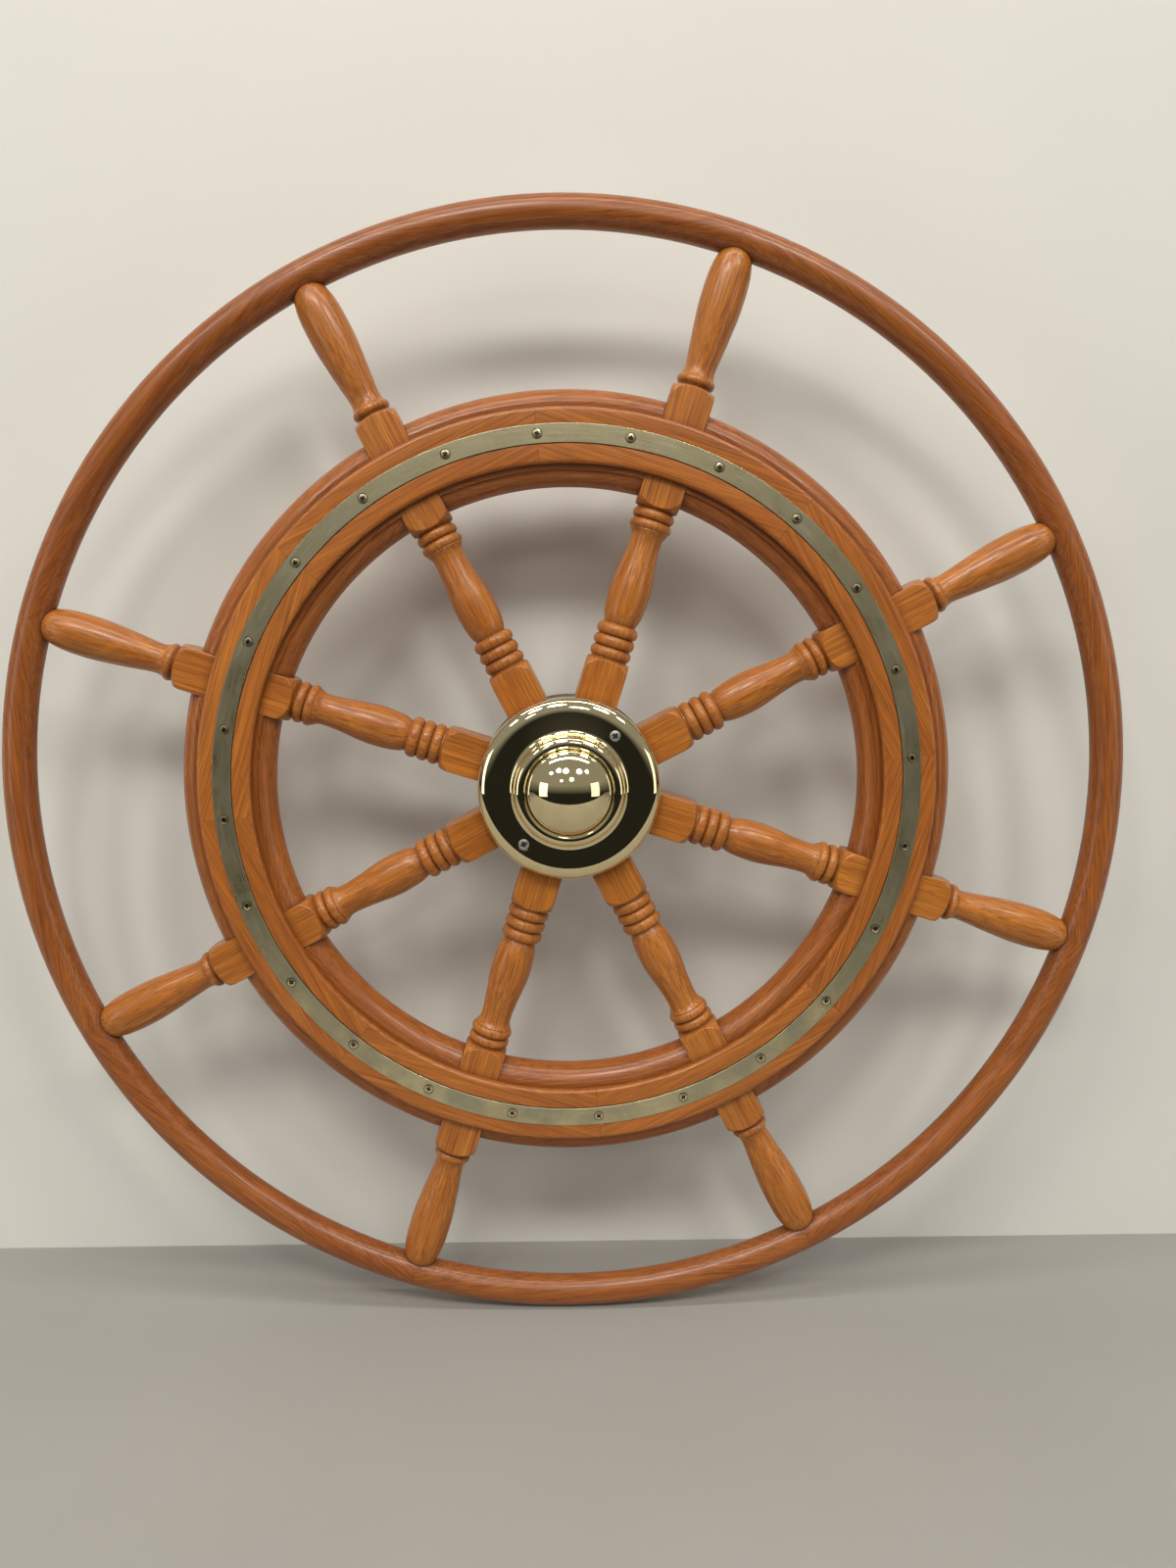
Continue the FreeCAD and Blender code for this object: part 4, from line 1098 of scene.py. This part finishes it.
def cap_outline():
    """The section of the cap, from its spigot over the dome and back inside."""
    bead = CAP_SEAT + CAP_BEAD
    foot = bead + CAP_FOOT
    height = CAP_FRONT - foot
    inner = SPIGOT - CAP_WALL
    spigot_end = -(CAP_SEAT - SPIGOT_LENGTH)
    top = (0.0, -CAP_FRONT)
    inside_top = (0.0, -(CAP_FRONT - CAP_WALL))
    points = [(inner, spigot_end), (SPIGOT, spigot_end), (SPIGOT, -CAP_SEAT), (CAP_RADIUS, -CAP_SEAT)]
    points += arc((CAP_RADIUS, -CAP_SEAT), (SPIGOT, -bead), 1.8 * MM, 10)
    points += [(SPIGOT, -foot)] + arc((SPIGOT, -foot), top, dome_rise(SPIGOT, height), 48)
    points[-1] = top
    points += [inside_top]
    return points + arc(inside_top, (inner, -foot), -dome_rise(inner, height - CAP_WALL), 20)


mesh = make_mesh("polished_cap", *lathe(cap_outline(), HUB_STEPS))
cap = make_piece(mesh, hub_brass, "hub_cap")
print("cap faces:", len(cap.data.polygons))

# %% [markdown]
# The casting behind, with its keyed bore, was drawn in full among the solids, so its
# node stays and only takes a finish. The same goes for the dowels that hide in the
# handles. The screws behind the flange are made like those in front.

# %% Finishes on the solids that stay
FLANGE_BACK = 32.5 * MM
FLANGE_SCREW_CIRCLE = 78 * MM

for node, material in (("hub_back_plate", cast_metal), ("rim_dowels", spoke_wood)):
    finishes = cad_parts[node].data.materials
    finishes.clear()
    finishes.append(material)
back_centres = [around_wheel(n, SPOKES, spoke_angle(0), FLANGE_SCREW_CIRCLE) for n in range(SPOKES)]
make_screws(
    "flange_screws", "spoke_screws", steel, back_centres, FLANGE_BACK, FLANGE_SCREW, True
)
print("finished:", "hub_back_plate, rim_dowels, spoke_screws")

# %% [markdown]
# The stage is a pale wall close behind the wheel, where the ring throws soft shadows,
# and a plain pale floor a shade darker, on which it stands. The floor ends a little
# way in front, so the flat of the polished hub still mirrors a dim room beyond it.
# Seen from behind, the wall lets the view through, so the back can be looked at too.

# %% Floor and wall
WALL = 0.135
GROUND = cad_box[0].z


def stage_material(name, pale, deep, rough):
    """A dull, faintly mottled surface that is clear from behind."""
    material, tree, shader, place = new_material(name)
    mottle = noise(tree, place, 3.0, 3.0, 0.5)
    tree.links.new(mixed(tree, stretch(tree, mottle, 0.3, 0.7), pale, deep), shader.inputs["Base Color"])
    shader.inputs["Roughness"].default_value = rough
    shader.inputs["Specular IOR Level"].default_value = 0.2
    bumped(tree, shader, noise(tree, place, 90.0, 4.0, 0.6), 0.4 * MM, 0.3)
    behind = add_node(tree, "ShaderNodeNewGeometry").outputs["Backfacing"]
    clear = add_node(tree, "ShaderNodeBsdfTransparent").outputs[0]
    one_sided = add_node(tree, "ShaderNodeMixShader", i0=behind, i1=shader.outputs[0], i2=clear)
    tree.links.new(one_sided.outputs[0], tree.nodes["Material Output"].inputs["Surface"])
    return material


def make_sheet(name, corners, material):
    """A flat sheet whose face looks the way from which its corners run anticlockwise."""
    mesh = bpy.data.meshes.new(name)
    mesh.from_pydata(corners, [], [(0, 1, 2, 3)])
    mesh.materials.append(material)
    add_object(name, mesh)


plaster = stage_material("pale_plaster", (0.71, 0.71, 0.685), (0.69, 0.69, 0.665), 0.85)
pale_floor = stage_material("pale_floor", (0.36, 0.355, 0.34), (0.34, 0.335, 0.32), 0.8)
make_sheet("wall", [(-4, WALL, GROUND), (4, WALL, GROUND), (4, WALL, 2.8), (-4, WALL, 2.8)], plaster)
make_sheet("floor", [(-7, -1.3, GROUND), (7, -1.3, GROUND), (7, 6, GROUND), (-7, 6, GROUND)], pale_floor)
print("ground at", round(GROUND, 4))

# %% [markdown]
# Brass has hardly any colour of its own to show: it shows the room. A long thin
# trough and seven round lamps in the ceiling give it something bright to mirror, and
# leave the rest of the room dim, so that polished metal turns dark between its
# highlights. The same lamps are a soft light for the wood, and a weak panel on each
# side opens the shadows. The list gives each round lamp's place, size and power.

# %% Lamps
WARM = (1.0, 0.95, 0.87)
CEILING = 2.85
CEILING_LAMPS = [
    (-2.85, -2.85, 0.54, 16.0),
    (-1.42, -2.7, 0.66, 27.0),
    (-0.45, -2.92, 0.75, 38.0),
    (1.42, -2.92, 0.75, 32.0),
    (2.62, -2.55, 0.54, 16.0),
    (-1.95, -6.3, 0.6, 9.0),
    (0.52, -5.7, 0.9, 16.0),
]


def add_panel(name, place, target, size, power, shape="DISK"):
    """A lamp with a face. A disk has one size, and a strip has a width and a depth."""
    lamp = bpy.data.lights.new(name, "AREA")
    lamp.shape = shape
    lamp.size = size[0]
    lamp.size_y = size[1]
    lamp.energy = power
    lamp.color = WARM
    panel = add_object(name, lamp)
    panel.location = place
    panel.rotation_mode = "QUATERNION"
    panel.rotation_quaternion = (Vector(target) - Vector(place)).to_track_quat("-Z", "Y")


add_panel("ceiling_trough", (0, -0.9, CEILING), (0, -0.75, 0), (4.2, 0.18), 40.0, "RECTANGLE")
for number, (x, y, size, power) in enumerate(CEILING_LAMPS):
    target = (x * 0.6, y * 0.4, 0.0)
    add_panel(f"ceiling_lamp_{number + 1}", (x, y, CEILING), target, (size, size), power)
for side, power in ((-1, 13.0), (1, 10.0)):
    place = (side * 3.0, -2.1, 0.15)
    add_panel(f"side_fill_{side + 2}", place, (0, 0, -0.15), (1.2, 1.6), power, "RECTANGLE")
print("lamps:", len(bpy.data.lights))

# %% [markdown]
# The world is the room itself: nearly dark below the horizon, and a soft grey above,
# which fills the shadows. The flat of the hub mirrors the dark part and looks deep.

# %% World
ROOM_LOW = (0.024, 0.023, 0.019)
ROOM_HIGH = (0.38, 0.37, 0.34)


def make_world():
    world = bpy.data.worlds.new("dim_room")
    world.use_nodes = True
    bpy.context.scene.world = world
    tree = world.node_tree
    background = tree.nodes["Background"]
    way = add_node(tree, "ShaderNodeTexCoord").outputs["Generated"]
    height = add_node(tree, "ShaderNodeSeparateXYZ", Vector=way).outputs["Z"]
    room = mixed(tree, stretch(tree, height, -0.07, 0.24), ROOM_LOW, ROOM_HIGH)
    tree.links.new(room, background.inputs["Color"])
    background.inputs["Strength"].default_value = 0.8


make_world()
bpy.context.scene.view_settings.view_transform = "Standard"
print("view transform:", bpy.context.scene.view_settings.view_transform)

# %% [markdown]
# The camera stands a little over a metre away, at the height of a person's chest,
# and looks slightly down, with the wide lens of a phone. A short distance like this
# makes the near side of round pieces swell, so the lens matters as much as the place.

# %% The camera
PICTURE_HEIGHT = 1600
FOCAL_LENGTH_IN_PIXELS = 1202
SENSOR = 36
LOOKS_DOWN = 0.13961
LOOKS_ASIDE = -0.024166


def make_camera():
    """The sensor's width lies along the picture's long side, which is its height."""
    lens = bpy.data.cameras.new("camera")
    lens.sensor_width = SENSOR
    lens.lens = SENSOR * FOCAL_LENGTH_IN_PIXELS / PICTURE_HEIGHT
    lens.clip_start = 0.05
    camera = add_object("camera", lens)
    camera.location = (-0.0098, -1.255, 0.1769)
    camera.rotation_euler = (math.radians(90) - LOOKS_DOWN, 0, LOOKS_ASIDE)
    bpy.context.scene.camera = camera
    return camera


camera = make_camera()
print("camera at", tuple(round(c, 3) for c in camera.location))
